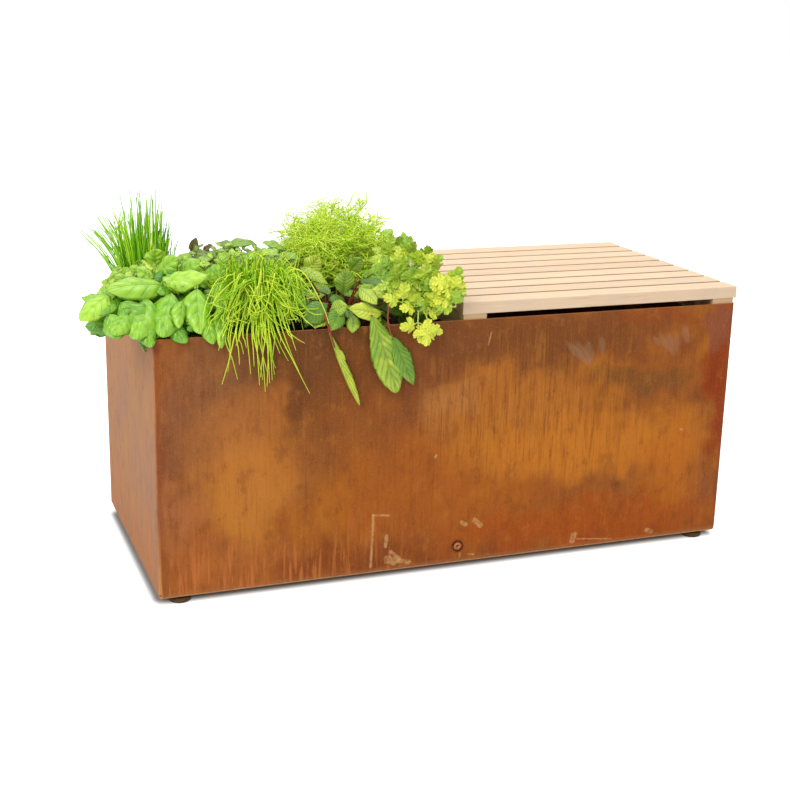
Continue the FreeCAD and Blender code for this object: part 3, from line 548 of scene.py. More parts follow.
def through(points, steps):
    """A smooth path through the given points."""
    ends = [points[0] * 2 - points[1]] + points + [points[-1] * 2 - points[-2]]
    path = []
    for a, b, c, d in zip(ends, ends[1:], ends[2:], ends[3:]):
        for i in range(steps):
            t = i / steps
            square = (2 * a - 5 * b + 4 * c - d) * t * t
            cube = (3 * b - a - 3 * c + d) * t * t * t
            path.append(0.5 * (2 * b + (c - a) * t + square + cube))
    return path + [points[-1]]


def new_object(name, data):
    """An object for a mesh, lamp or camera, in the scene."""
    thing = bpy.data.objects.new(name, data)
    bpy.context.scene.collection.objects.link(thing)
    return thing


def as_plain(piece):
    """The piece with its node tree's result as its own plain mesh, faces outwards."""
    graph = bpy.context.evaluated_depsgraph_get()
    made = bpy.data.meshes.new_from_object(piece.evaluated_get(graph))
    piece.modifiers.clear()
    old = piece.data
    piece.data = made
    bpy.data.meshes.remove(old)
    bm = bmesh.new()
    bm.from_mesh(made)
    bmesh.ops.recalc_face_normals(bm, faces=bm.faces)
    bm.to_mesh(made)
    bm.free()
    return piece


def run_tree(piece, tree, **values):
    """Puts a geometry tree on the piece with its inputs by name, and takes its result."""
    modifier = piece.modifiers.new("grow", "NODES")
    modifier.node_group = tree
    for item in tree.interface.items_tree:
        if item.in_out == "INPUT" and item.name in values:
            modifier[item.identifier] = values[item.name]
    return as_plain(piece)


def new_tree(name, **inputs):
    """An empty geometry tree with a mesh in and out and its named inputs, and what adds nodes to it."""
    tree = bpy.data.node_groups.new(name, "GeometryNodeTree")
    tree.interface.new_socket("Geometry", in_out="INPUT", socket_type="NodeSocketGeometry")
    for label, kind in inputs.items():
        tree.interface.new_socket(label, in_out="INPUT", socket_type="NodeSocket" + kind)
    tree.interface.new_socket("Geometry", in_out="OUTPUT", socket_type="NodeSocketGeometry")
    given, result = tree.nodes.new("NodeGroupInput"), tree.nodes.new("NodeGroupOutput")
    return tree, partial(add_node, tree), given.outputs, result.inputs


def end_tree(tree, shape, skin, result):
    """Ends a tree with real geometry in its skin."""
    real = add_node(tree, "GeometryNodeRealizeInstances", shape)
    feed(result["Geometry"], add_node(tree, "GeometryNodeSetMaterial", real, Material=skin))
    return tree


def blade_tree():
    """Sweeps a small ring along each path, as thick as the path's own thick attribute says."""
    tree, add, given, result = new_tree("blades_along_paths", Sides="Int", Thickness="Float", Skin="Material")
    curve = add("GeometryNodeMeshToCurve", given["Geometry"])
    thick = add("stored", "thick", data_type="FLOAT")
    ring = add("GeometryNodeCurvePrimitiveCircle", Resolution=given["Sides"], Radius=1.0)
    scale = add("times", thick, given["Thickness"])
    swept = add("GeometryNodeCurveToMesh", curve, ring, scale, True)
    return end_tree(tree, add("GeometryNodeSetShadeSmooth", swept), given["Skin"], result)


def scatter_tree():
    """Sets one of the collection's shapes on each point, turned and sized by the point's attributes."""
    tree, add, given, result = new_tree("shapes_on_points", Shapes="Collection", Size="Float",
                                        Skin="Material")
    shapes = add("GeometryNodeCollectionInfo", given["Shapes"], True, True)
    points = add("GeometryNodeMeshToPoints", given["Geometry"])
    kind = add("stored", "kind", data_type="INT")
    turn = add("stored", "turn", data_type="FLOAT_VECTOR")
    size = add("stored", "size", data_type="FLOAT")
    turned = add("FunctionNodeEulerToRotation", turn)
    scale = add("times", size, given["Size"])
    placed = add("GeometryNodeInstanceOnPoints", points, True, shapes, True, kind, turned, scale)
    return end_tree(tree, placed, given["Skin"], result)


BLADES = blade_tree()
SCATTER = scatter_tree()


def points_mesh(name, points, edges, **stored):
    """A mesh of points and edges, with values stored for each point by name, as (their type, the values)."""
    mesh = bpy.data.meshes.new(name)
    mesh.from_pydata(points, edges, [])
    for label, (kind, values) in stored.items():
        key = "vector" if kind == "FLOAT_VECTOR" else "value"
        mesh.attributes.new(label, kind, "POINT").data.foreach_set(key, values)
    return mesh


def lay_blades(name, paths, skin, sides):
    """One piece of tapered blades. Each path is its points, half thickness at foot and tip, and its shade."""
    verts, edges, thick, shade = [], [], [], []
    for points, foot_half, tip_half, tone in paths:
        first, last = len(verts), len(points) - 1
        for i, point in enumerate(points):
            t = i / last
            verts.append(point)
            thick.append(foot_half + (tip_half - foot_half) * t ** 1.4)
            shade.append(tone + 0.12 * t)
        edges += [(first + i, first + i + 1) for i in range(last)]
    mesh = points_mesh(name, verts, edges, thick=("FLOAT", thick), shade=("FLOAT", shade))
    return run_tree(new_object(name, mesh), BLADES, Sides=sides, Thickness=1.0, Skin=skin)


def lay_shapes(name, spots, shapes, skin):
    """One piece of repeated shapes. Each spot is a matrix, a size, the number of its shape and its shade."""
    store = bpy.data.collections.new(name + "_shapes")
    for k, bm in enumerate(shapes):
        mesh = bpy.data.meshes.new(f"{name}_shape_{k}")
        bm.to_mesh(mesh)
        bm.free()
        store.objects.link(bpy.data.objects.new(f"{name}_shape_{k}", mesh))
    places, sizes, kinds, shades = zip(*spots)
    turns = [angle for place in places for angle in place.to_euler("XYZ")]
    mesh = points_mesh(name, [place.translation for place in places], [], turn=("FLOAT_VECTOR", turns),
                       size=("FLOAT", sizes), kind=("INT", kinds), shade=("FLOAT", shades))
    piece = run_tree(new_object(name, mesh), SCATTER, Shapes=store, Size=1.0, Skin=skin)
    for shape in list(store.objects):
        bpy.data.objects.remove(shape)
    bpy.data.collections.remove(store)
    return piece


def mesh_piece(name, bm, skin):
    """A piece from mesh data that is already in place."""
    mesh = bpy.data.meshes.new(name)
    bmesh.ops.recalc_face_normals(bm, faces=bm.faces)
    bm.to_mesh(mesh)
    bm.free()
    mesh.materials.append(skin)
    return new_object(name, mesh)


def rooted(piece, slot, *nodes):
    """The piece rides on the box and stands for the nodes; the slot is not used."""
    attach(piece, "root")
    if nodes:
        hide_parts(*nodes)


def sprig(bm, draw, top, lean, sizes, wide, tones, cup=0.3, curl=0.9, droop=0.25, gap=0.010, keep=None,
          kind="lance", crease=0.06, pucker=0.04, ripple=0.05):
    """The leafy top of one stem: crosswise pairs of leaves, the smallest at its tip, turned a bit forward."""
    lean = Vector(lean).normalized()
    toward = Vector((-0.15, -0.55, 0))
    side = lean.cross(Vector((0.31, 0.9, 0.2))).normalized()
    start = draw(0, math.pi)
    for level, long in enumerate(sizes):
        node_at = top - lean * gap * level
        for half in (0, math.pi):
            turn = start + level * math.pi / 2 + half + draw(-0.35, 0.35)
            out = Matrix.Rotation(turn, 3, lean) @ side
            way = (out + lean * (0.75 - droop * level + draw(-0.2, 0.2))).normalized()
            reach = long * draw(0.85, 1.15)
            tip = node_at + way * reach
            if keep and not keep(tip):
                continue
            where, _ = aimed(node_at + way * 0.15 * reach, tip, lean - out * 0.3 + toward)
            leaf_shape(bm, draw, where, reach, reach * wide * draw(0.88, 1.12), kind, cup * draw(0.6, 1.3),
                       curl * draw(0.6, 1.3), draw(*tones), crease=crease, pucker=pucker, ripple=ripple)


def stalk_foot(place, crown, shares):
    """Where a stalk leaves the soil: from the plant's crown its shares of the way to under a place, all in
    millimetres."""
    x, y = (middle + (at - middle) * share for at, middle, share in zip(place, crown, shares))
    return mm(x, y, SOIL)


def over_rim(point):
    """Whether a leaf's tip stays over the rim, and near the box."""
    return point.z > RIM + 0.014 and point.x > LEFT - 0.108 and point.y > FRONT - 0.022


def chives(skin):
    """A dense tuft of thin dark hollow blades, upright in the middle and splayed at the left."""
    draw = random.Random(11).uniform
    blade = (0.0017, 0.0006)
    crown = mm(-447, 105, SOIL)
    paths = []
    for k, (turn, share) in enumerate(spiral(260)):
        foot = crown + heading(turn) * 0.032 * share
        lean = 0.026 * share * draw(0.2, 1.3)
        tall = draw(0.080, 0.196) * (1.0 - 0.16 * share)
        if k < 90 and k % 6 == 3:
            tall = draw(0.185, 0.210)
        tip = foot + Vector((math.cos(turn) * lean - 0.003, math.sin(turn) * lean * 0.8, tall))
        tip += mm(draw(-10, 10), draw(-8, 8), 0)
        paths.append((arc(foot, tip, mm(draw(-8, 8), draw(-8, 8), 4), 7), *blade, draw(0.0, 0.9)))
    for _ in range(34):
        foot = crown + mm(-draw(5, 30), draw(-25, 25), 0)
        out = draw(20, 84)
        tip = foot + mm(-out, draw(-30, 12), draw(165, 190) - out * 0.45)
        paths.append((arc(foot, tip, mm(12, 0, 24), 7), *blade, draw(0.2, 0.9)))
    for _ in range(16):
        foot = crown + mm(draw(10, 28), draw(-20, 20), 0)
        tip = foot + mm(draw(10, 26), draw(-30, 20), draw(100, 150))
        paths.append((arc(foot, tip, mm(-6, 0, 30), 7), 0.0016, 0.0006, draw(0.1, 0.6)))
    rooted(lay_blades("chives_blades", paths, skin, 5), "chives_green", "chives")


# Basil leaves that show one by one: base, tip, width, which way its face looks, cup, curl, shade
BASIL_LEAVES = (
    ((-556, -188, 478), (-600, -215, 450), 38, (-0.3, -0.9, 0.8), 0.3, 0.5, 0.80),
    ((-537, -172, 480), (-573, -212, 456), 34, (-0.2, -0.8, 0.8), 0.3, 0.5, 0.30),
    ((-470, -160, 482), (-556, -196, 488), 48, (0.0, -0.9, 1.0), 0.3, 0.7, 0.66),
    ((-499, -192, 470), (-527, -238, 424), 55, (-0.3, -1.0, 0.5), 0.5, 0.5, 0.55),
    ((-462, -190, 476), (-487, -236, 424), 55, (-0.2, -1.0, 0.5), 0.5, 0.6, 0.50),
    ((-423, -186, 480), (-430, -233, 425), 50, (0.1, -1.0, 0.5), 0.35, 0.5, 0.58),
    ((-470, -155, 488), (-407, -172, 498), 48, (0.1, -0.7, 1.0), 0.4, 0.6, 0.76),
    ((-535, -212, 455), (-557, -235, 430), 36, (-0.4, -1.0, 0.5), 0.5, 0.5, 0.58),
    ((-540, -200, 468), (-507, -226, 434), 52, (0.0, -1.0, 0.4), 0.4, 0.6, 0.42),
    ((-450, -208, 468), (-461, -235, 434), 27, (0.5, -1.0, 0.4), 0.8, 0.6, 0.60),
    ((-392, -210, 458), (-399, -238, 402), 25, (0.1, -1.0, 0.3), 0.5, 0.3, 0.70),
    ((-374, -166, 486), (-389, -204, 450), 41, (0.2, -1.0, 0.7), 0.3, 0.5, 0.76),
    ((-460, -60, 492), (-463, -72, 520), 36, (-0.1, -0.8, 0.5), 0.3, 0.3, 0.82),
    ((-462, -85, 486), (-437, -102, 512), 41, (0.1, -0.8, 0.8), 0.3, 0.5, 0.66),
    ((-433, -95, 484), (-404, -112, 508), 41, (0.1, -0.8, 0.9), 0.3, 0.5, 0.60),
    ((-500, -115, 474), (-535, -135, 494), 39, (-0.1, -0.8, 0.9), 0.3, 0.6, 0.60),
    ((-472, -115, 480), (-500, -125, 502), 39, (-0.1, -0.8, 0.9), 0.3, 0.6, 0.76),
    ((-400, -125, 474), (-368, -135, 503), 39, (0.1, -0.8, 0.9), 0.3, 0.5, 0.54),
    ((-434, -146, 482), (-467, -176, 492), 43, (0.0, -0.8, 1.0), 0.4, 0.6, 0.72),
    ((-560, -208, 454), (-551, -234, 424), 36, (-0.3, -1.0, 0.4), 0.5, 0.5, 0.48),
    ((-470, -216, 436), (-452, -236, 412), 30, (0.0, -1.0, 0.4), 0.5, 0.5, 0.30),
    ((-520, -150, 470), (-560, -165, 478), 41, (-0.2, -0.6, 1.0), 0.3, 0.7, 0.50),
    ((-545, -120, 462), (-585, -125, 462), 39, (-0.4, -0.3, 1.0), 0.3, 0.7, 0.55),
    ((-416, -214, 444), (-412, -238, 408), 30, (0.1, -1.0, 0.4), 0.4, 0.5, 0.50),
    ((-512, -214, 446), (-505, -240, 410), 34, (0.0, -1.0, 0.4), 0.4, 0.5, 0.36),
)

# Tops of basil stems under and behind them: place, which way they lean
BASIL_TOPS = (
    (-560, -165, 464, -0.5, -0.3), (-548, -205, 456, -0.3, -0.8), (-505, -205, 456, 0.0, -0.9),
    (-462, -205, 452, 0.1, -0.9), (-418, -205, 452, 0.2, -0.8), (-388, -195, 456, 0.5, -0.6),
    (-536, -160, 474, -0.4, -0.4), (-498, -158, 484, -0.1, -0.5), (-450, -160, 490, 0.1, -0.4),
    (-408, -155, 484, 0.4, -0.4), (-525, -120, 474, -0.4, 0.0), (-482, -112, 490, -0.1, -0.2),
    (-440, -112, 492, 0.1, -0.2), (-396, -110, 484, 0.4, -0.1), (-376, -150, 470, 0.5, -0.4),
    (-480, -216, 440, 0.0, -0.9), (-436, -218, 438, 0.1, -0.9),
)

# Small crinkled side shoots at the left end and behind: place, which way they lean
CURLED_TOPS = (
    (-548, -175, 486, -0.5, -0.2), (-545, -135, 482, -0.5, 0.0), (-540, -95, 474, -0.6, 0.1),
    (-535, -55, 470, -0.6, 0.1), (-528, -12, 462, -0.6, 0.2), (-520, 30, 455, -0.6, 0.2),
    (-514, 70, 448, -0.6, 0.3), (-508, 105, 440, -0.5, 0.4), (-520, -75, 488, -0.3, 0.0),
    (-515, -35, 486, -0.3, 0.0), (-508, 5, 476, -0.3, 0.1), (-500, 45, 466, -0.3, 0.2),
    (-496, -85, 492, -0.1, -0.1), (-484, -50, 496, 0.0, 0.0), (-462, -35, 500, 0.0, 0.0),
    (-470, -80, 494, 0.0, -0.2), (-445, -60, 502, 0.1, -0.1), (-438, -20, 498, 0.1, 0.0),
    (-424, -70, 494, 0.2, -0.1), (-412, -30, 494, 0.2, 0.0), (-400, -75, 488, 0.3, -0.1),
    (-440, 20, 490, 0.0, 0.1), (-412, 15, 486, 0.2, 0.1), (-388, -40, 484, 0.3, 0.0),
    (-455, 45, 478, 0.0, 0.2), (-480, -10, 486, -0.1, 0.1), (-486, 60, 462, -0.2, 0.3),
    (-492, 110, 446, -0.3, 0.4), (-495, 150, 436, -0.3, 0.5),
)


def basil(skin, curled_skin, stalk_skin):
    """Soft broad glossy leaves, cupped and puckered, in a heap that hangs over the corner of the box."""
    draw = random.Random(23).uniform
    bm, curled = bmesh.new(), bmesh.new()
    bow = mm(0, 0, 20)
    # The tops' stalks start at least 10 mm inside the left end
    inner_left = LEFT + 0.010
    paths = []
    for base, tip, width, face, cup, curl, shade in BASIL_LEAVES:
        where, reach = aimed(mm(*base), mm(*tip), face, curl)
        leaf_shape(bm, draw, where, reach * 1.06, width * MM, "egg", 0.2 + cup, curl, shade, 20, 10,
                   crease=0.09)
        foot = stalk_foot(base, (-430, -140), (0.55, 0.5))
        paths.append((arc(foot, where.translation, bow, 6), 0.0016, 0.0010, 0.45))
    for x, y, z, lean_x, lean_y in BASIL_TOPS:
        top = mm(x, y, z - 6)
        sprig(bm, draw, top, (lean_x, lean_y, 1.0), (0.018, 0.034, 0.044), 0.74, (0.10, 0.62),
              cup=0.7, curl=0.8, keep=over_rim, kind="egg")
        foot = stalk_foot((x, y), (-448, -136), (0.55, 0.5))
        foot.x = max(foot.x, inner_left)
        paths.append((arc(foot, top, bow, 6), 0.0019, 0.0012, draw(0.3, 0.6)))
    for x, y, z, lean_x, lean_y in CURLED_TOPS:
        top = mm(x, y, z)
        sprig(curled, draw, top, (lean_x, lean_y, 1.0), (0.010, 0.019, 0.027, 0.028), 0.80, (0.20, 0.95),
              droop=0.30, gap=0.007, kind="round", crease=0.10, pucker=0.08, ripple=0.14)
        foot = stalk_foot((x, y), (-448, -100), (0.6, 0.6))
        foot.x = max(foot.x, inner_left)
        paths.append((arc(foot, top, bow, 6), 0.0015, 0.0009, draw(0.3, 0.7)))
    rooted(mesh_piece("basil_leaves", bm, skin), "basil_green", "basil")
    rooted(mesh_piece("curled_basil_leaves", curled, curled_skin), "basil_green")
    rooted(lay_blades("basil_stalks", paths, stalk_skin, 5), "basil_green")


# Blades of garlic chives that hang over the rim: their x at the tip and on the rim, and the tip's z
HANGING = (
    (-333, -338, 327), (-326, -330, 340), (-340, -332, 350), (-330, -345, 358), (-322, -318, 372),
    (-376, -392, 350), (-399, -378, 343), (-404, -400, 396), (-262, -312, 318), (-280, -306, 355),
    (-270, -300, 398), (-350, -352, 368), (-318, -326, 352), (-336, -350, 345), (-385, -388, 380),
    (-310, -322, 385), (-300, -312, 392), (-345, -342, 392), (-362, -366, 398), (-395, -396, 420),
    (-290, -298, 405), (-330, -326, 335), (-372, -376, 372), (-390, -384, 362), (-355, -360, 356),
    (-342, -346, 338), (-316, -334, 362), (-296, -320, 372), (-284, -294, 388), (-378, -370, 402),
    (-330, -336, 398), (-308, -310, 402), (-352, -350, 408), (-366, -372, 388), (-322, -326, 344),
)


# Its long blades, point by point: two fall across the sorrel and the basil, and two stand out on top
LONG_BLADES = (
    ((-300, -150, 390), (-285, -180, 488), (-262, -195, 500), (-240, -225, 455), (-231, -236, 425)),
    ((-345, -150, 390), (-372, -180, 480), (-395, -200, 495), (-420, -225, 462), (-427, -236, 430)),
    ((-335, -150, 390), (-322, -150, 500), (-308, -152, 522), (-300, -150, 524)),
    ((-318, -150, 390), (-312, -155, 498), (-326, -162, 526), (-342, -170, 518)),
)


def garlic_chives(skin):
    """Flat bright blades that rise from the crown, arch over and hang down the front of the box."""
    draw = random.Random(37).uniform
    blade = (0.0014, 0.0005)
    crown = mm(-322, -140, SOIL)
    paths = []
    for turn, share in spiral(420):
        foot = crown + Vector((math.cos(turn) * 0.036, math.sin(turn) * 0.034, 0)) * share
        lean = draw(0.15, 1.0)
        out = Vector((math.cos(turn) * 0.066, math.sin(turn) * 0.050 - 0.030, 0)) * lean
        top = foot + out * 0.6 + Vector((0, 0, draw(0.070, 0.140) * (1.08 - 0.3 * lean)))
        end = foot + out * 1.2 + mm(0, 0, draw(25, 135))
        end += mm(draw(-18, 18), draw(-12, 12), draw(-10, 10))
        end.x = min(max(end.x, -0.410), -0.250)
        end.y = max(end.y, -0.245)
        bend = foot * 0.4 + top * 0.6 - out * 0.1
        paths.append((through([foot, bend, top, end], 4), *blade, draw(0.10, 1.0)))
    for tip_x, rim_x, tip_z in HANGING:
        foot = crown + mm(draw(-20, 20), -10, 0)
        high = mm((rim_x - 322) / 2, -195 + draw(-12, 12), 455 + draw(-10, 32))
        over = mm(rim_x, -234 - draw(0, 4), 418 + draw(0, 8))
        low = mm((tip_x + rim_x) / 2, -237 - draw(0, 3), (tip_z + 418) / 2)
        tip = mm(tip_x, -236 - draw(0, 4), tip_z)
        paths.append((through([foot, high, over, low, tip], 4), *blade, draw(0.45, 1.0)))
    # Blades before the rim that end in front of it
    for _ in range(130):
        x = draw(-408, -258)
        foot = crown + mm(draw(-30, 30), draw(-20, 0), 0)
        high = mm(x * 0.5 - 161 + draw(-26, 26), -186 + draw(-20, 20), draw(446, 508))
        side = mm(x + draw(-16, 16), -222 + draw(-14, 8), draw(432, 474))
        tip = side + mm(draw(-22, 22), -draw(0, 8), draw(-26, 14))
        paths.append((through([foot, high, side, tip], 5), *blade, draw(0.15, 1.0)))
    for bend in LONG_BLADES:
        paths.append((through([mm(*p) for p in bend], 5), 0.0014, 0.0006, 0.85))
    rooted(lay_blades("garlic_chives_blades", paths, skin, 4), "garlic_chives_green", "garlic_chives")


# Tops of the dark basil's stems: place, which way they lean
DARK_TOPS = (
    (-410, 30, 486, -0.2, -0.1), (-384, -5, 500, -0.2, -0.3), (-372, 45, 498, -0.2, 0.0),
    (-350, -5, 500, 0.0, -0.3), (-336, 10, 506, 0.0, 0.0), (-322, 55, 496, 0.0, 0.1),
    (-306, 5, 500, 0.1, -0.3), (-279, 5, 498, 0.2, -0.2), (-262, 52, 488, 0.3, 0.1),
    (-243, 0, 492, 0.3, -0.3), (-229, 40, 484, 0.4, 0.1), (-350, 95, 470, -0.1, 0.4),
    (-300, 100, 466, 0.0, 0.5), (-250, 100, 456, 0.3, 0.5), (-385, 90, 464, -0.4, 0.4),
    (-330, 130, 444, 0.0, 0.7), (-280, 135, 440, 0.1, 0.7), (-290, -35, 496, 0.1, -0.4),
    (-262, -40, 492, 0.2, -0.4), (-330, -40, 500, 0.0, -0.4), (-365, -45, 496, -0.1, -0.4),
    (-232, -30, 484, 0.4, -0.3), (-400, -20, 490, -0.2, -0.3), (-315, -75, 488, 0.0, -0.4),
    (-280, -80, 484, 0.1, -0.4), (-350, -80, 486, -0.1, -0.4),
)

# Its long arching leaves: base, tip, width, curl, shade
DARK_LEAVES = (
    ((-386, 20, 494), (-380, 15, 520), 17, 0.3, -0.20), ((-366, 40, 488), (-350, 30, 506), 20, 0.8, -0.10),
    ((-334, 20, 502), (-276, 22, 506), 24, 1.2, 0.45), ((-226, 20, 494), (-266, 18, 508), 24, 0.9, 0.55),
    ((-300, 30, 496), (-340, 34, 508), 22, 0.9, 0.30), ((-352, 10, 490), (-392, 0, 500), 24, 0.9, 0.35),
    ((-262, 30, 486), (-222, 36, 494), 22, 0.9, 0.40), ((-290, 0, 494), (-252, -24, 496), 24, 0.9, 0.65),
    ((-330, -10, 498), (-352, -40, 494), 24, 0.8, 0.60), ((-250, 0, 490), (-214, -20, 486), 24, 0.9, 0.50),
    ((-310, -20, 496), (-296, -52, 494), 24, 0.8, 0.70),
    ((-370, -10, 494), (-380, -44, 492), 24, 0.8, 0.50),
)


def dark_basil(skin, stalk_skin):
    """Low bronze and green leaves that arch behind the front row."""
    draw = random.Random(41).uniform
    bm = bmesh.new()
    stalk = (0.0016, 0.0010)
    bow = mm(0, 0, 20)
    paths = []
    for base, tip, width, curl, shade in DARK_LEAVES:
        where, reach = aimed(mm(*base), mm(*tip), (0.0, -0.5, 1.0), curl)
        leaf_shape(bm, draw, where, reach * 1.1, width * MM, "lance", 0.3, curl, shade, 16, 8, 5,
                   fold=0.10, crease=0.06)
        foot = stalk_foot(base, (-316, 50), (0.5, 0.0))
        paths.append((arc(foot, where.translation, bow, 6), *stalk, 0.4))
    for x, y, z, lean_x, lean_y in DARK_TOPS:
        top = mm(x, y, z)
        sprig(bm, draw, top, (lean_x, lean_y, 1.0), (0.014, 0.028, 0.040, 0.044), 0.55, (0.15, 1.0))
        foot = stalk_foot((x, y), (-315, 66), (0.4, 0.4))
        paths.append((arc(foot, top, bow, 6), *stalk, draw(0.2, 0.6)))
    rooted(mesh_piece("dark_basil_leaves", bm, skin), "dark_basil_green", "dark_basil")
    rooted(lay_blades("dark_basil_stalks", paths, stalk_skin, 5), "dark_basil_green")


# Thin loops of dill that stand out at its top: tip, and how far the middle is bent off the straight
DILL_LOOPS = (
    ((-112, 10, 583), (-12, 0, 30)), ((-96, 20, 560), (10, 0, 40)), ((-225, 0, 540), (-20, 0, 30)),
    ((-70, 0, 548), (26, 0, 34)), ((-150, 0, 574), (-20, 0, 24)), ((-190, 10, 562), (-24, 0, 26)),
)


def dill(stem_skin, thread_skin):
    """An airy cloud of curly thread leaves on thin branching stalks."""
    draw = random.Random(53).uniform
    stems, threads = [], []
    crown = mm(-152, 50, SOIL)
    for turn, share in spiral(64):
        foot = crown + heading(turn) * 0.026 * share
        tall = draw(0.105, 0.185) * (1.03 - 0.40 * share ** 2)
        tip = foot + Vector((math.cos(turn) * 0.058 * share + 0.020, math.sin(turn) * 0.064 * share, tall))
        stem = arc(foot, tip, mm(0, 0, 15), 8)
        stems.append((stem, 0.0013, 0.0007, draw(0.4, 0.8)))
        for start in [point for point in stem[3:] for _ in range(3)]:
            way = heading(turn + draw(-2.2, 2.2), draw(-0.2, 1.1))
            reach = draw(0.020, 0.042)
            bow = heading(draw(0, TURN), 0.2) * reach * 0.35
            twig = arc(start, start + way * reach, bow, 5, reach * 0.25)
            stems.append((twig, 0.0011, 0.0008, draw(0.3, 1.0)))
            for root in twig[1:]:
                side = heading(turn + draw(-2.8, 2.8), draw(-0.4, 1.1))
                short = draw(0.014, 0.032)
                curve = side.cross(way) * short * draw(0.2, 0.5)
                threads.append((arc(root, root + side * short, curve, 3), 0.0008, 0.0005, draw(0.25, 1.1)))
    # Long threads that cross over the cloud
    for turn, share in spiral(70):
        tip = crown + mm(20, 0, 178) + heading(turn) * 0.088 * share
        tip.z += -0.100 * share ** 2 + draw(-0.010, 0.014)
        foot = crown + (tip - crown) * 0.35 + heading(draw(0, TURN), 0.2) * 0.03
        bow = heading(turn + draw(-1.2, 1.2), 0.9) * draw(0.010, 0.034)
        threads.append((arc(foot, tip, bow, 8), 0.0009, 0.0005, draw(0.5, 1.2)))
    for tip, bow in DILL_LOOPS:
        path = arc(crown, mm(*tip), mm(*bow), 9)
        stems.append((path, 0.0012, 0.0006, 0.8))
        for root in path[5:]:
            side = heading(draw(0, TURN), draw(0.2, 1.2))
            curve = heading(draw(0, TURN)) * 0.006
            threads.append((arc(root, root + side * 0.014, curve, 3), 0.0008, 0.0006, 0.9))
    rooted(lay_blades("dill_stalks", stems, stem_skin, 3), "dill_green", "dill")
    rooted(lay_blades("dill_threads", threads, thread_skin, 3), "dill_green")


# Sorrel leaves that show one by one: base, tip, width, face, cup, curl, shade
SORREL_LEAVES = (
    ((-216, -62, 467), (-197, -72, 499), 34, (0.0, -0.8, 0.6), 0.2, 0.4, 0.75),
    ((-243, -118, 492), (-208, -150, 470), 26, (0.0, -0.7, 1.0), 0.3, 0.7, 0.65),
    ((-185, -166, 454), (-184, -172, 496), 38, (0.0, -1.0, 0.3), 0.2, 0.4, 0.55),
    ((-152, -100, 478), (-138, -112, 500), 30, (0.1, -0.9, 0.5), 0.2, 0.4, 0.60),
    ((-255, -188, 460), (-283, -206, 448), 28, (-0.1, -0.8, 0.8), 0.3, 0.6, 0.35),
    ((-226, -210, 452), (-268, -228, 430), 38, (-0.1, -1.0, 0.5), 0.3, 0.6, 0.30),
    ((-223, -212, 441), (-201, -228, 451), 28, (0.1, -1.0, 0.6), 0.2, 0.4, 0.62),
    ((-138, -212, 430), (-195, -228, 445), 32, (0.0, -1.0, 0.8), 0.2, 0.5, 1.35),
    ((-156, -178, 456), (-102, -200, 466), 28, (0.1, -0.8, 0.9), 0.2, 0.4, 0.85),
    ((-152, -146, 472), (-108, -170, 467), 22, (0.1, -0.4, 1.0), 0.2, 0.5, 0.20),
    ((-230, -232, 412), (-184, -240, 297), 14, (-0.60, -0.80, 0.2), 1.1, 0.25, 0.80),
    ((-222, -236, 388), (-206, -240, 368), 10, (-0.3, -1.0, 0.2), 0.5, 0.4, 0.80),
    ((-158, -228, 432), (-121, -242, 314), 48, (0.0, -1.0, 0.15), 0.2, 0.25, 0.60),
    ((-126, -234, 398), (-93, -240, 322), 34, (0.2, -1.0, 0.1), 0.2, 0.25, 0.44),
    ((-205, -216, 446), (-228, -236, 416), 30, (-0.1, -1.0, 0.3), 0.2, 0.4, 0.40),
    ((-168, -190, 470), (-150, -222, 450), 28, (0.1, -1.0, 0.6), 0.2, 0.5, 0.70),
)


def sorrel(skin, stalk_skin):
    """Long green leaves with dark red veins and stalks, some hanging far down the front of the box."""
    draw = random.Random(67).uniform
    bm = bmesh.new()
    paths = []
    crown = mm(-185, -135, SOIL)
    for base, tip, width, face, cup, curl, shade in SORREL_LEAVES:
        where, reach = aimed(mm(*base), mm(*tip), face, curl)
        leaf_shape(bm, draw, where, reach * 1.05, width * MM, "spoon" if reach > 0.1 else "lance", cup, curl,
                   shade, 24, 10, 8, pucker=0.02, ripple=0.04)
        start = where.translation
        x, _, z = base
        if z > 425:
            paths.append((arc(crown + mm(0, -10, 0), start, mm(0, 0, 20), 7), 0.0017, 0.0011, 0.2))
            continue
        # The stalk of a leaf that hangs outside rises from the crown and passes over the rim first
        over = [mm(x - 3, -230, 428)] if z > 400 else [mm(x - 8, -231, 424), mm(x - 6, -236, 408)]
        points = [crown + mm(0, -20, 0), mm(x - 4, -200, 446), *over, start]
        paths.append((through(points, 4), 0.0017, 0.0012, 0.2))
    for turn, share in spiral(44):
        base = mm(-182 + 72 * share * math.cos(turn), -128 + 86 * share * math.sin(turn),
                  455 - 28 * share ** 2 + draw(-22, 10))
        way = heading(turn + draw(-0.4, 0.4), 0.5 - 0.9 * share + draw(-0.2, 0.3))
        long = draw(0.034, 0.056)
        where, _ = aimed(base, base + way, (0.2 * way.x, -0.4, 1.0))
        leaf_shape(bm, draw, where, long, long * 0.55, "lance", 0.3, draw(0.4, 0.9), draw(0.15, 0.7), 12,
                   pairs=6)
        foot = crown + heading(turn) * 0.02
        paths.append((arc(foot, base, mm(0, 0, 15), 6), 0.0015, 0.0010, draw(0.1, 0.5)))
    rooted(mesh_piece("sorrel_leaves", bm, skin), "red_veined_sorrel_green", "red_veined_sorrel")
    rooted(lay_blades("sorrel_stalks", paths, stalk_skin, 5), "red_veined_sorrel_green")


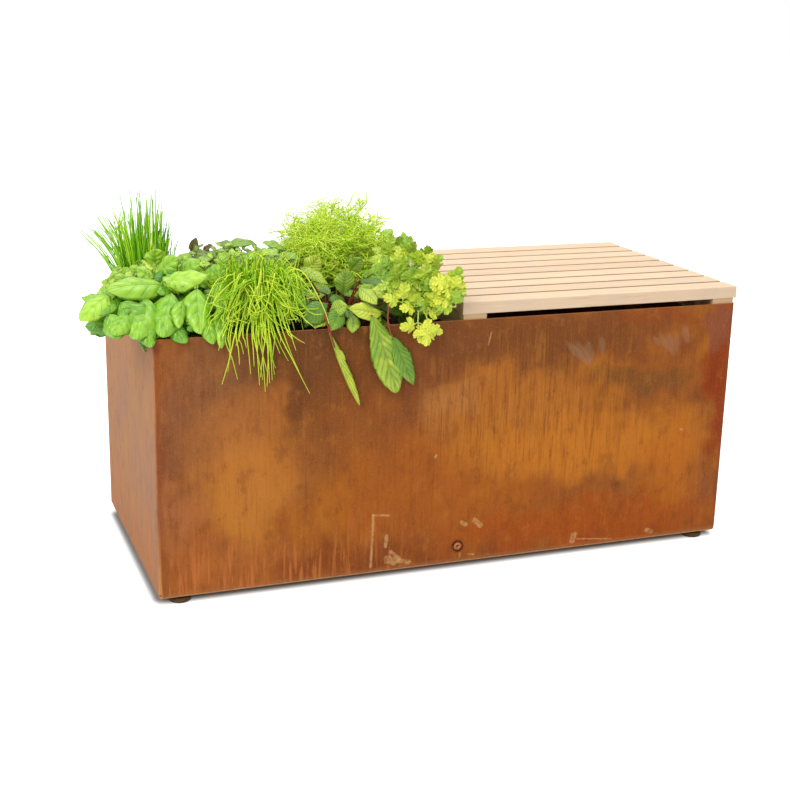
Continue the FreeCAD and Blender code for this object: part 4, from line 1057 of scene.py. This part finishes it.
# Half the outline of a celery leaflet one metre long, from its base to before its tip
LEAFLET = (
    (0.09, 0.06), (0.24, 0.05), (0.35, 0.10), (0.35, 0.17), (0.47, 0.22), (0.50, 0.31), (0.45, 0.36),
    (0.50, 0.43), (0.46, 0.52), (0.33, 0.53), (0.18, 0.49), (0.27, 0.58), (0.31, 0.68), (0.25, 0.73),
    (0.26, 0.84), (0.17, 0.91), (0.11, 0.90), (0.07, 0.98),
)


def lobed_leaflet(curl, bend):
    """A celery leaflet one metre long: three toothed lobes, as a thin closed lens."""
    bm = bmesh.new()
    uv_layer = bm.loops.layers.uv.new("leaf")
    outline = [(0, 0)] + list(LEAFLET) + [(0, 1.0)] + [(-x, y) for x, y in reversed(LEAFLET)]
    rim = []
    for x, y in outline:
        lobe = 0.05 * math.sin(5.5 * math.atan2(x, y - 0.4) + bend) * math.hypot(x, y - 0.4) * 2
        rim.append(bm.verts.new((x, y, lobe - curl * (x * x + max(0, y - 0.3) ** 2))))
    for sign in (1, -1):
        middle = bm.verts.new((0, 0.4, 0.012 * sign))
        for a, b in zip(rim, rim[1:] + rim[:1]):
            made = bm.faces.new((middle, b, a) if sign > 0 else (middle, a, b))
            for loop in made.loops:
                loop[uv_layer].uv = (0.5 + loop.vert.co.x * 0.8, loop.vert.co.y)
    bmesh.ops.recalc_face_normals(bm, faces=bm.faces)
    return bm


# Celery stalks' tips, each with leaflets round it, and how yellow each is
CELERY_TIPS = (
    (-108, -190, 470, 0.45), (-88, -196, 466, 0.60), (-66, -200, 474, 0.60), (-46, -202, 468, 0.75),
    (-30, -205, 460, 0.65), (-92, -145, 488, 0.45), (-62, -150, 492, 0.60), (-38, -150, 488, 0.75),
    (-30, -160, 476, 0.60), (-84, -100, 494, 0.60), (-62, -96, 500, 0.50), (-44, -98, 502, 0.70),
    (-28, -105, 492, 0.65), (-72, -50, 494, 0.55), (-50, -40, 494, 0.65), (-30, -45, 486, 0.60),
    (-104, -214, 446, 0.45), (-80, -218, 440, 0.60), (-58, -222, 440, 0.60), (-36, -224, 440, 0.70),
    (-22, -228, 452, 0.60), (-24, -242, 464, 0.75), (-26, -244, 442, 0.65), (-72, -212, 456, 0.50),
    (-50, -190, 450, 0.30), (-86, -236, 418, 1.30), (-70, -238, 412, 1.20), (-30, -238, 480, 0.80),
    (-38, -236, 468, 0.85), (-26, -240, 452, 0.90),
)


def celery(skin, stalk_skin):
    """Light yellow-green lobed leaflets on thin stalks, leaning over the rim and up to the seat's end."""
    chance = random.Random(71)
    draw = chance.uniform
    spots, paths = [], []
    for x, y, z, shade in CELERY_TIPS:
        hangs = z <= 430
        foot = stalk_foot((x, y), (-62, -125), (0.25, 0.35))
        stem = arc(foot, mm(x, y, z), mm(0, -20, 60) if hangs else mm(0, -6, 20), 7)
        paths.append((stem, 0.0017, 0.0009, 0.5 * shade))
        face_at = Vector((-0.2, -1.0, 0.2) if hangs else (-0.35, -1.0, 0.55))
        for start, spread, size in ((stem[7], 0.0, 1.0), (stem[7], 1.25, 0.92), (stem[7], -1.25, 0.92),
                                    (stem[5], 1.5 if x < -60 else -1.5, 0.8)):
            out = Vector((math.sin(spread), -0.35 * math.cos(spread), 0.75 * math.cos(spread)))
            if z < 430:
                out.z = -out.z
            way = (out + Vector([draw(-0.3, 0.3) for _ in range(3)])).normalized()
            long = draw(0.022, 0.031) * size
            if start.x + way.x * (long + 0.01) > SEAT_GAP:
                way = Vector((-abs(way.x) - 0.2, way.y, way.z)).normalized()
            twig = start + way * draw(0.004, 0.010)
            paths.append((arc(start, twig, mm(0, 0, 2), 2), 0.0009, 0.0007, 0.6))
            face = face_at + Vector([draw(-0.45, 0.45) for _ in range(3)])
            where, _ = aimed(twig, twig + way, face)
            spots.append((where, long, chance.randrange(3), shade + draw(-0.3, 0.3)))
    for turn, share in spiral(40):
        base = mm(-64 + 50 * share * math.cos(turn), -120 + 90 * share * math.sin(turn), draw(440, 486))
        way = heading(turn, draw(-0.3, 0.4))
        if base.x + way.x * 0.03 > SEAT_GAP:
            way.x = -abs(way.x)
        where, _ = aimed(base, base + way, (0, -0.5, 1.0))
        spots.append((where, draw(0.026, 0.036), chance.randrange(3), draw(-0.1, 0.4)))
        paths.append((arc(mm(-62, -125, SOIL), base, mm(0, 0, 10), 5), 0.0014, 0.0009, 0.3))
    shapes = [lobed_leaflet(0.1, 0.0), lobed_leaflet(0.3, 1.2), lobed_leaflet(0.5, 2.4)]
    rooted(lay_shapes("celery_leaves", spots, shapes, skin), "leaf_celery_green", "leaf_celery")
    rooted(lay_blades("celery_stalks", paths, stalk_skin, 4), "leaf_celery_green")


# Young chard leaves: base, tip, width
CHARD_LEAVES = (
    ((-61, 20, 505), (-36, 20, 523), 18), ((-17, 12, 486), (-16, 10, 517), 15),
    ((-27, 20, 473), (-51, 22, 490), 17), ((-40, 60, 480), (-62, 78, 500), 20),
    ((-30, 80, 478), (-22, 108, 496), 20), ((-45, 40, 460), (-70, 30, 478), 20),
    ((-25, 55, 470), (-12, 62, 496), 17), ((-38, 95, 462), (-58, 118, 474), 20),
    ((-24, 30, 455), (-14, 4, 470), 18), ((-70, 60, 478), (-92, 66, 496), 20),
    ((-60, 100, 468), (-80, 120, 484), 20), ((-75, 10, 470), (-98, -6, 486), 20),
)


def chard(skin, stalk_skin):
    """A few young round-tipped leaves on straight stalks, behind the celery."""
    draw = random.Random(83).uniform
    bm = bmesh.new()
    paths = []
    for base, tip, width in CHARD_LEAVES:
        where, reach = aimed(mm(*base), mm(*tip), (0.1, -0.8, 0.6))
        leaf_shape(bm, draw, where, reach * 1.05, width * MM, "spoon", 0.3, 0.5, draw(0.4, 0.9), 12,
                   pucker=0.04)
        foot = mm(-36 + 0.3 * (base[0] + 32), 60 + 0.3 * (base[1] - 60), SOIL)
        paths.append((arc(foot, where.translation, mm(0, 0, 20), 6), 0.0016, 0.0010, draw(0.4, 0.8)))
    rooted(mesh_piece("chard_leaves", bm, skin), "young_chard_green", "young_chard")
    rooted(lay_blades("chard_stalks", paths, stalk_skin, 5), "young_chard_green")


def soil_bed(skin):
    """Potting soil: the block that fills the bay, its top raked uneven."""
    low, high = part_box("soil")
    draw = random.Random(5).uniform
    bm = bmesh.new()
    along, across = 120, 104
    tops, feet = {}, {}
    for i in range(along + 1):
        for j in range(across + 1):
            x = low.x + (high.x - low.x) * i / along
            y = low.y + (high.y - low.y) * j / across
            rise = 0.002 * math.sin(x * 61) * math.cos(y * 47) + draw(-0.0022, 0.0016)
            tops[i, j] = bm.verts.new((x, y, high.z - 0.002 + rise))
            if i in (0, along) or j in (0, across):
                feet[i, j] = bm.verts.new((x, y, low.z))
    for i in range(along):
        for j in range(across):
            bm.faces.new((tops[i, j], tops[i + 1, j], tops[i + 1, j + 1], tops[i, j + 1])).smooth = True
    edge = [(i, 0) for i in range(along)] + [(along, j) for j in range(across)]
    edge += [(i, across) for i in range(along, 0, -1)] + [(0, j) for j in range(across, 0, -1)]
    for a, b in zip(edge, edge[1:] + edge[:1]):
        bm.faces.new((feet[a], feet[b], tops[b], tops[a]))
    bm.faces.new([feet[k] for k in reversed(edge)])
    rooted(mesh_piece("soil_bed", bm, skin), "potting_soil", "soil")


def dress(material, *names):
    """Gives the nodes whose names start so this finish."""
    for name, node in NODES.items():
        if name.startswith(names):
            node.data.materials.clear()
            node.data.materials.append(material)


dress(weathering_steel(), "shell_", "base_plate", "divider", "corner_welds")
# Each wood's last colour is a painted shade for its faces behind the front and below the top
dress(planed_wood("larch_planed_sun_bleached", "E8CCAB", "D4B087", "DCC3AA", "A27C52"), "seat_slat")
dress(planed_wood("larch_batten_planed", "E2C49C", "CEAC80", "D8BA94", "CCAA7E"), "seat_batten")
# The drain's ring is rust with painted shade for the groove round the plug; its plug is rubbed paler
dress(speckled("rusted_drain_ring_and_groove_shade", 0.7, ((0.35, "4A220C"), (0.5, "5E2E12"), (0.65, "74401C")), 200.0),
      "drain_socket")
dress(speckled("rusted_plug_steel", 0.5, ((0.35, "A86032"), (0.5, "C27C4A"), (0.65, "D89468")), 260.0),
      "drain_plug")
# Zinc plating, dull grey with a soft shine
dress(speckled("zinc_plated_steel", 0.4, ((0.3, "9A9C9C"), (0.7, "B8BABA")), 300.0, 1.0),
      "foot_stud", "foot_nuts")
dress(speckled("zinc_plated_rivets", 0.4, ((0.3, "8E8A84"), (0.7, "A8A49C")), 300.0, 1.0), "divider_rivets")
# Bare stainless steel, bright
dress(speckled("stainless_screws", 0.3, ((0.3, "B0B0AE"), (0.7, "C4C4C2")), 400.0, 1.0),
      "seat_screws", "drain_strainer")
# Rubber gone olive brown with dust
dress(speckled("moulded_rubber_foot", 0.75, ((0.3, "4A3624"), (0.7, "6A5036")), 500.0), "foot_pad")
# Fired clay, matt and rough
dress(speckled("fired_clay_pebbles", 0.85, ((0.35, "7A4430"), (0.5, "9A5C40"), (0.65, "B4765A")), 90.0,
               depth=0.003), "pebbles")
# Felted white fleece
dress(speckled("felted_fleece", 0.95, ((0.3, "C8C8C4"), (0.7, "E0E0DC")), 900.0), "filter_fleece")
# Damp potting soil, dark with bark bits
soil_bed(speckled("potting_soil_damp", 0.95, ((0.30, "170F09"), (0.5, "2B1C11"), (0.66, "4A3422")), 210.0,
                  depth=0.002))

chives(blade_skin("chives_blade_waxy", "4C920C", "86CE16", "C8F03A", 0.4))
basil(leaf_skin("basil_leaf_glossy", "3E8410", "7CB424", "B2DC44", "A4D454", 0.28, 0.30, 4, 60.0),
      leaf_skin("curled_leaf_matt", "649C18", "98C428", "CAE254", "BCDA6C", 0.42, 0.35, 4, 90.0),
      blade_skin("basil_stalk", "4F8A28", "80B244", "A8D070", 0.5))
garlic_chives(blade_skin("garlic_chives_blade", "5C9E0C", "9CCE12", "D0E63C", 0.4))
dark_basil(leaf_skin("dark_basil_leaf", "54401C", "78A42A", "B8DC50", "B0C060", 0.38, 0.40, 4, 60.0),
           blade_skin("dark_basil_stalk", "5A3A2A", "6A7A3A", "8FA850", 0.5))
dill(blade_skin("dill_stalk", "94C822", "C4EA30", "E6FA5C", 0.45),
     blade_skin("dill_thread", "A2D622", "D2F434", "EEFE62", 0.45))
sorrel(leaf_skin("sorrel_leaf_veined", "3A6A0E", "6E9A1E", "C4D440", "565E18", 0.38, 0.36, 8, 60.0),
       blade_skin("sorrel_stalk_red", "7A2A1C", "9A4A2C", "8FB04A", 0.45))
celery(leaf_skin("celery_leaf_soft", "70A01C", "A0C22C", "D8E040", "BED458", 0.42, 0.15, 5, 80.0),
       blade_skin("celery_stalk", "8AB838", "B0D448", "D8E878", 0.45))
chard(leaf_skin("chard_leaf_young", "5C9C26", "94CA40", "C0E468", "CCE888", 0.4, 0.4, 4, 60.0),
      blade_skin("chard_stalk", "7AA83C", "A0C858", "C8DC80", 0.45))


def studio_floor():
    """A white floor. The camera sees it brighter than it is lit, up to the box's foot, so that the object's
    shadow on it stays soft and narrow. At the box's foot its own colour is painted grey, a painted contact
    shadow."""
    bm = bmesh.new()
    bmesh.ops.create_grid(bm, x_segments=1, y_segments=1, size=12)
    bmesh.ops.translate(bm, verts=bm.verts, vec=(0, 0, FLOOR))
    material, add, place = blank_finish("matt_white_floor")
    x, y, _ = add("split", place).node.outputs
    # How far outside the box's foot a place is: along x it counts double
    off_x = add("minus", add("times", add("size", x), 2.0), 2.0 * (RIGHT - 0.006))
    off_x = add("larger", off_x, 0.0)
    off_y = add("larger", add("minus", add("size", y), BACK - 0.034), 0.0)
    away = add("root", blended(add, off_x, off_x, off_y, off_y))
    # Painted contact shadow: the floor's own colour is grey at the box's foot, lighter within 34 mm
    shade = add("ramp", add("step", away, 0.0, 0.034), stops=((0.0, "8A8A8A"), (1.0, "E6E6E6")))
    coat(material, shade, 1.0, 0.0)
    rising = add("plus", add("step", away, 0.008, 0.042, 0.0, 0.80), 0.03)
    path = add("light path").node.outputs
    seen = add("larger", path["Is Camera Ray"], path["Is Glossy Ray"])
    glow = add("ShaderNodeEmission", "FFFFFF", add("times", seen, rising))
    nodes = material.node_tree.nodes
    both = add("ShaderNodeAddShader", nodes["Principled BSDF"].outputs[0], glow)
    feed(nodes["Material Output"].inputs["Surface"], both)
    mesh_piece("studio_floor", bm, material)


def studio_light(scene):
    """Even white light, brighter to the camera than on the things, from a sky and two large lamps."""
    world = bpy.data.worlds.new("soft_studio")
    world.use_nodes = True
    add = partial(add_node, world.node_tree)
    path = add("light path").node.outputs
    seen = add("larger", path["Is Camera Ray"], path["Is Glossy Ray"])
    seen = add("larger", seen, path["Is Transmission Ray"])
    sky = world.node_tree.nodes["Background"].inputs
    feed(sky["Color"], "FFFFFF")
    feed(sky["Strength"], add("step", seen, 0.0, 1.0, 0.62, 1.0))
    scene.world = world
    for name, place, aim, size, power in (
        ("key_from_left", (-2.6, -2.2, 2.9), (-0.1, 0, 0.3), 2.2, 95.0),
        ("top_fill", (0.6, 0.4, 3.4), (0.1, 0, 0.4), 2.6, 50.0),
    ):
        lamp = bpy.data.lights.new(name, "AREA")
        lamp.size = size
        lamp.energy = power
        holder = new_object(name, lamp)
        holder.location = place
        holder.rotation_mode = "QUATERNION"
        holder.rotation_quaternion = (Vector(aim) - Vector(place)).to_track_quat("-Z", "Y")


def studio_camera(scene):
    """The camera at the photograph's place and angle."""
    data = bpy.data.cameras.new("photo_view")
    data.sensor_width = SENSOR_WIDTH
    data.lens = FOCAL_LENGTH / PHOTO_WIDTH * SENSOR_WIDTH
    data.dof.use_dof = False
    camera = new_object("photo_view", data)
    place = Matrix.Translation(CAMERA_PLACE)
    for degrees, axis in ((CAMERA_TURN, "Z"), (90 - CAMERA_RISE, "X"), (CAMERA_ROLL, "Z")):
        place @= Matrix.Rotation(math.radians(degrees), 4, axis)
    camera.matrix_world = place
    scene.camera = camera
    scene.view_settings.view_transform = "Standard"


studio_floor()
studio_light(bpy.context.scene)
studio_camera(bpy.context.scene)
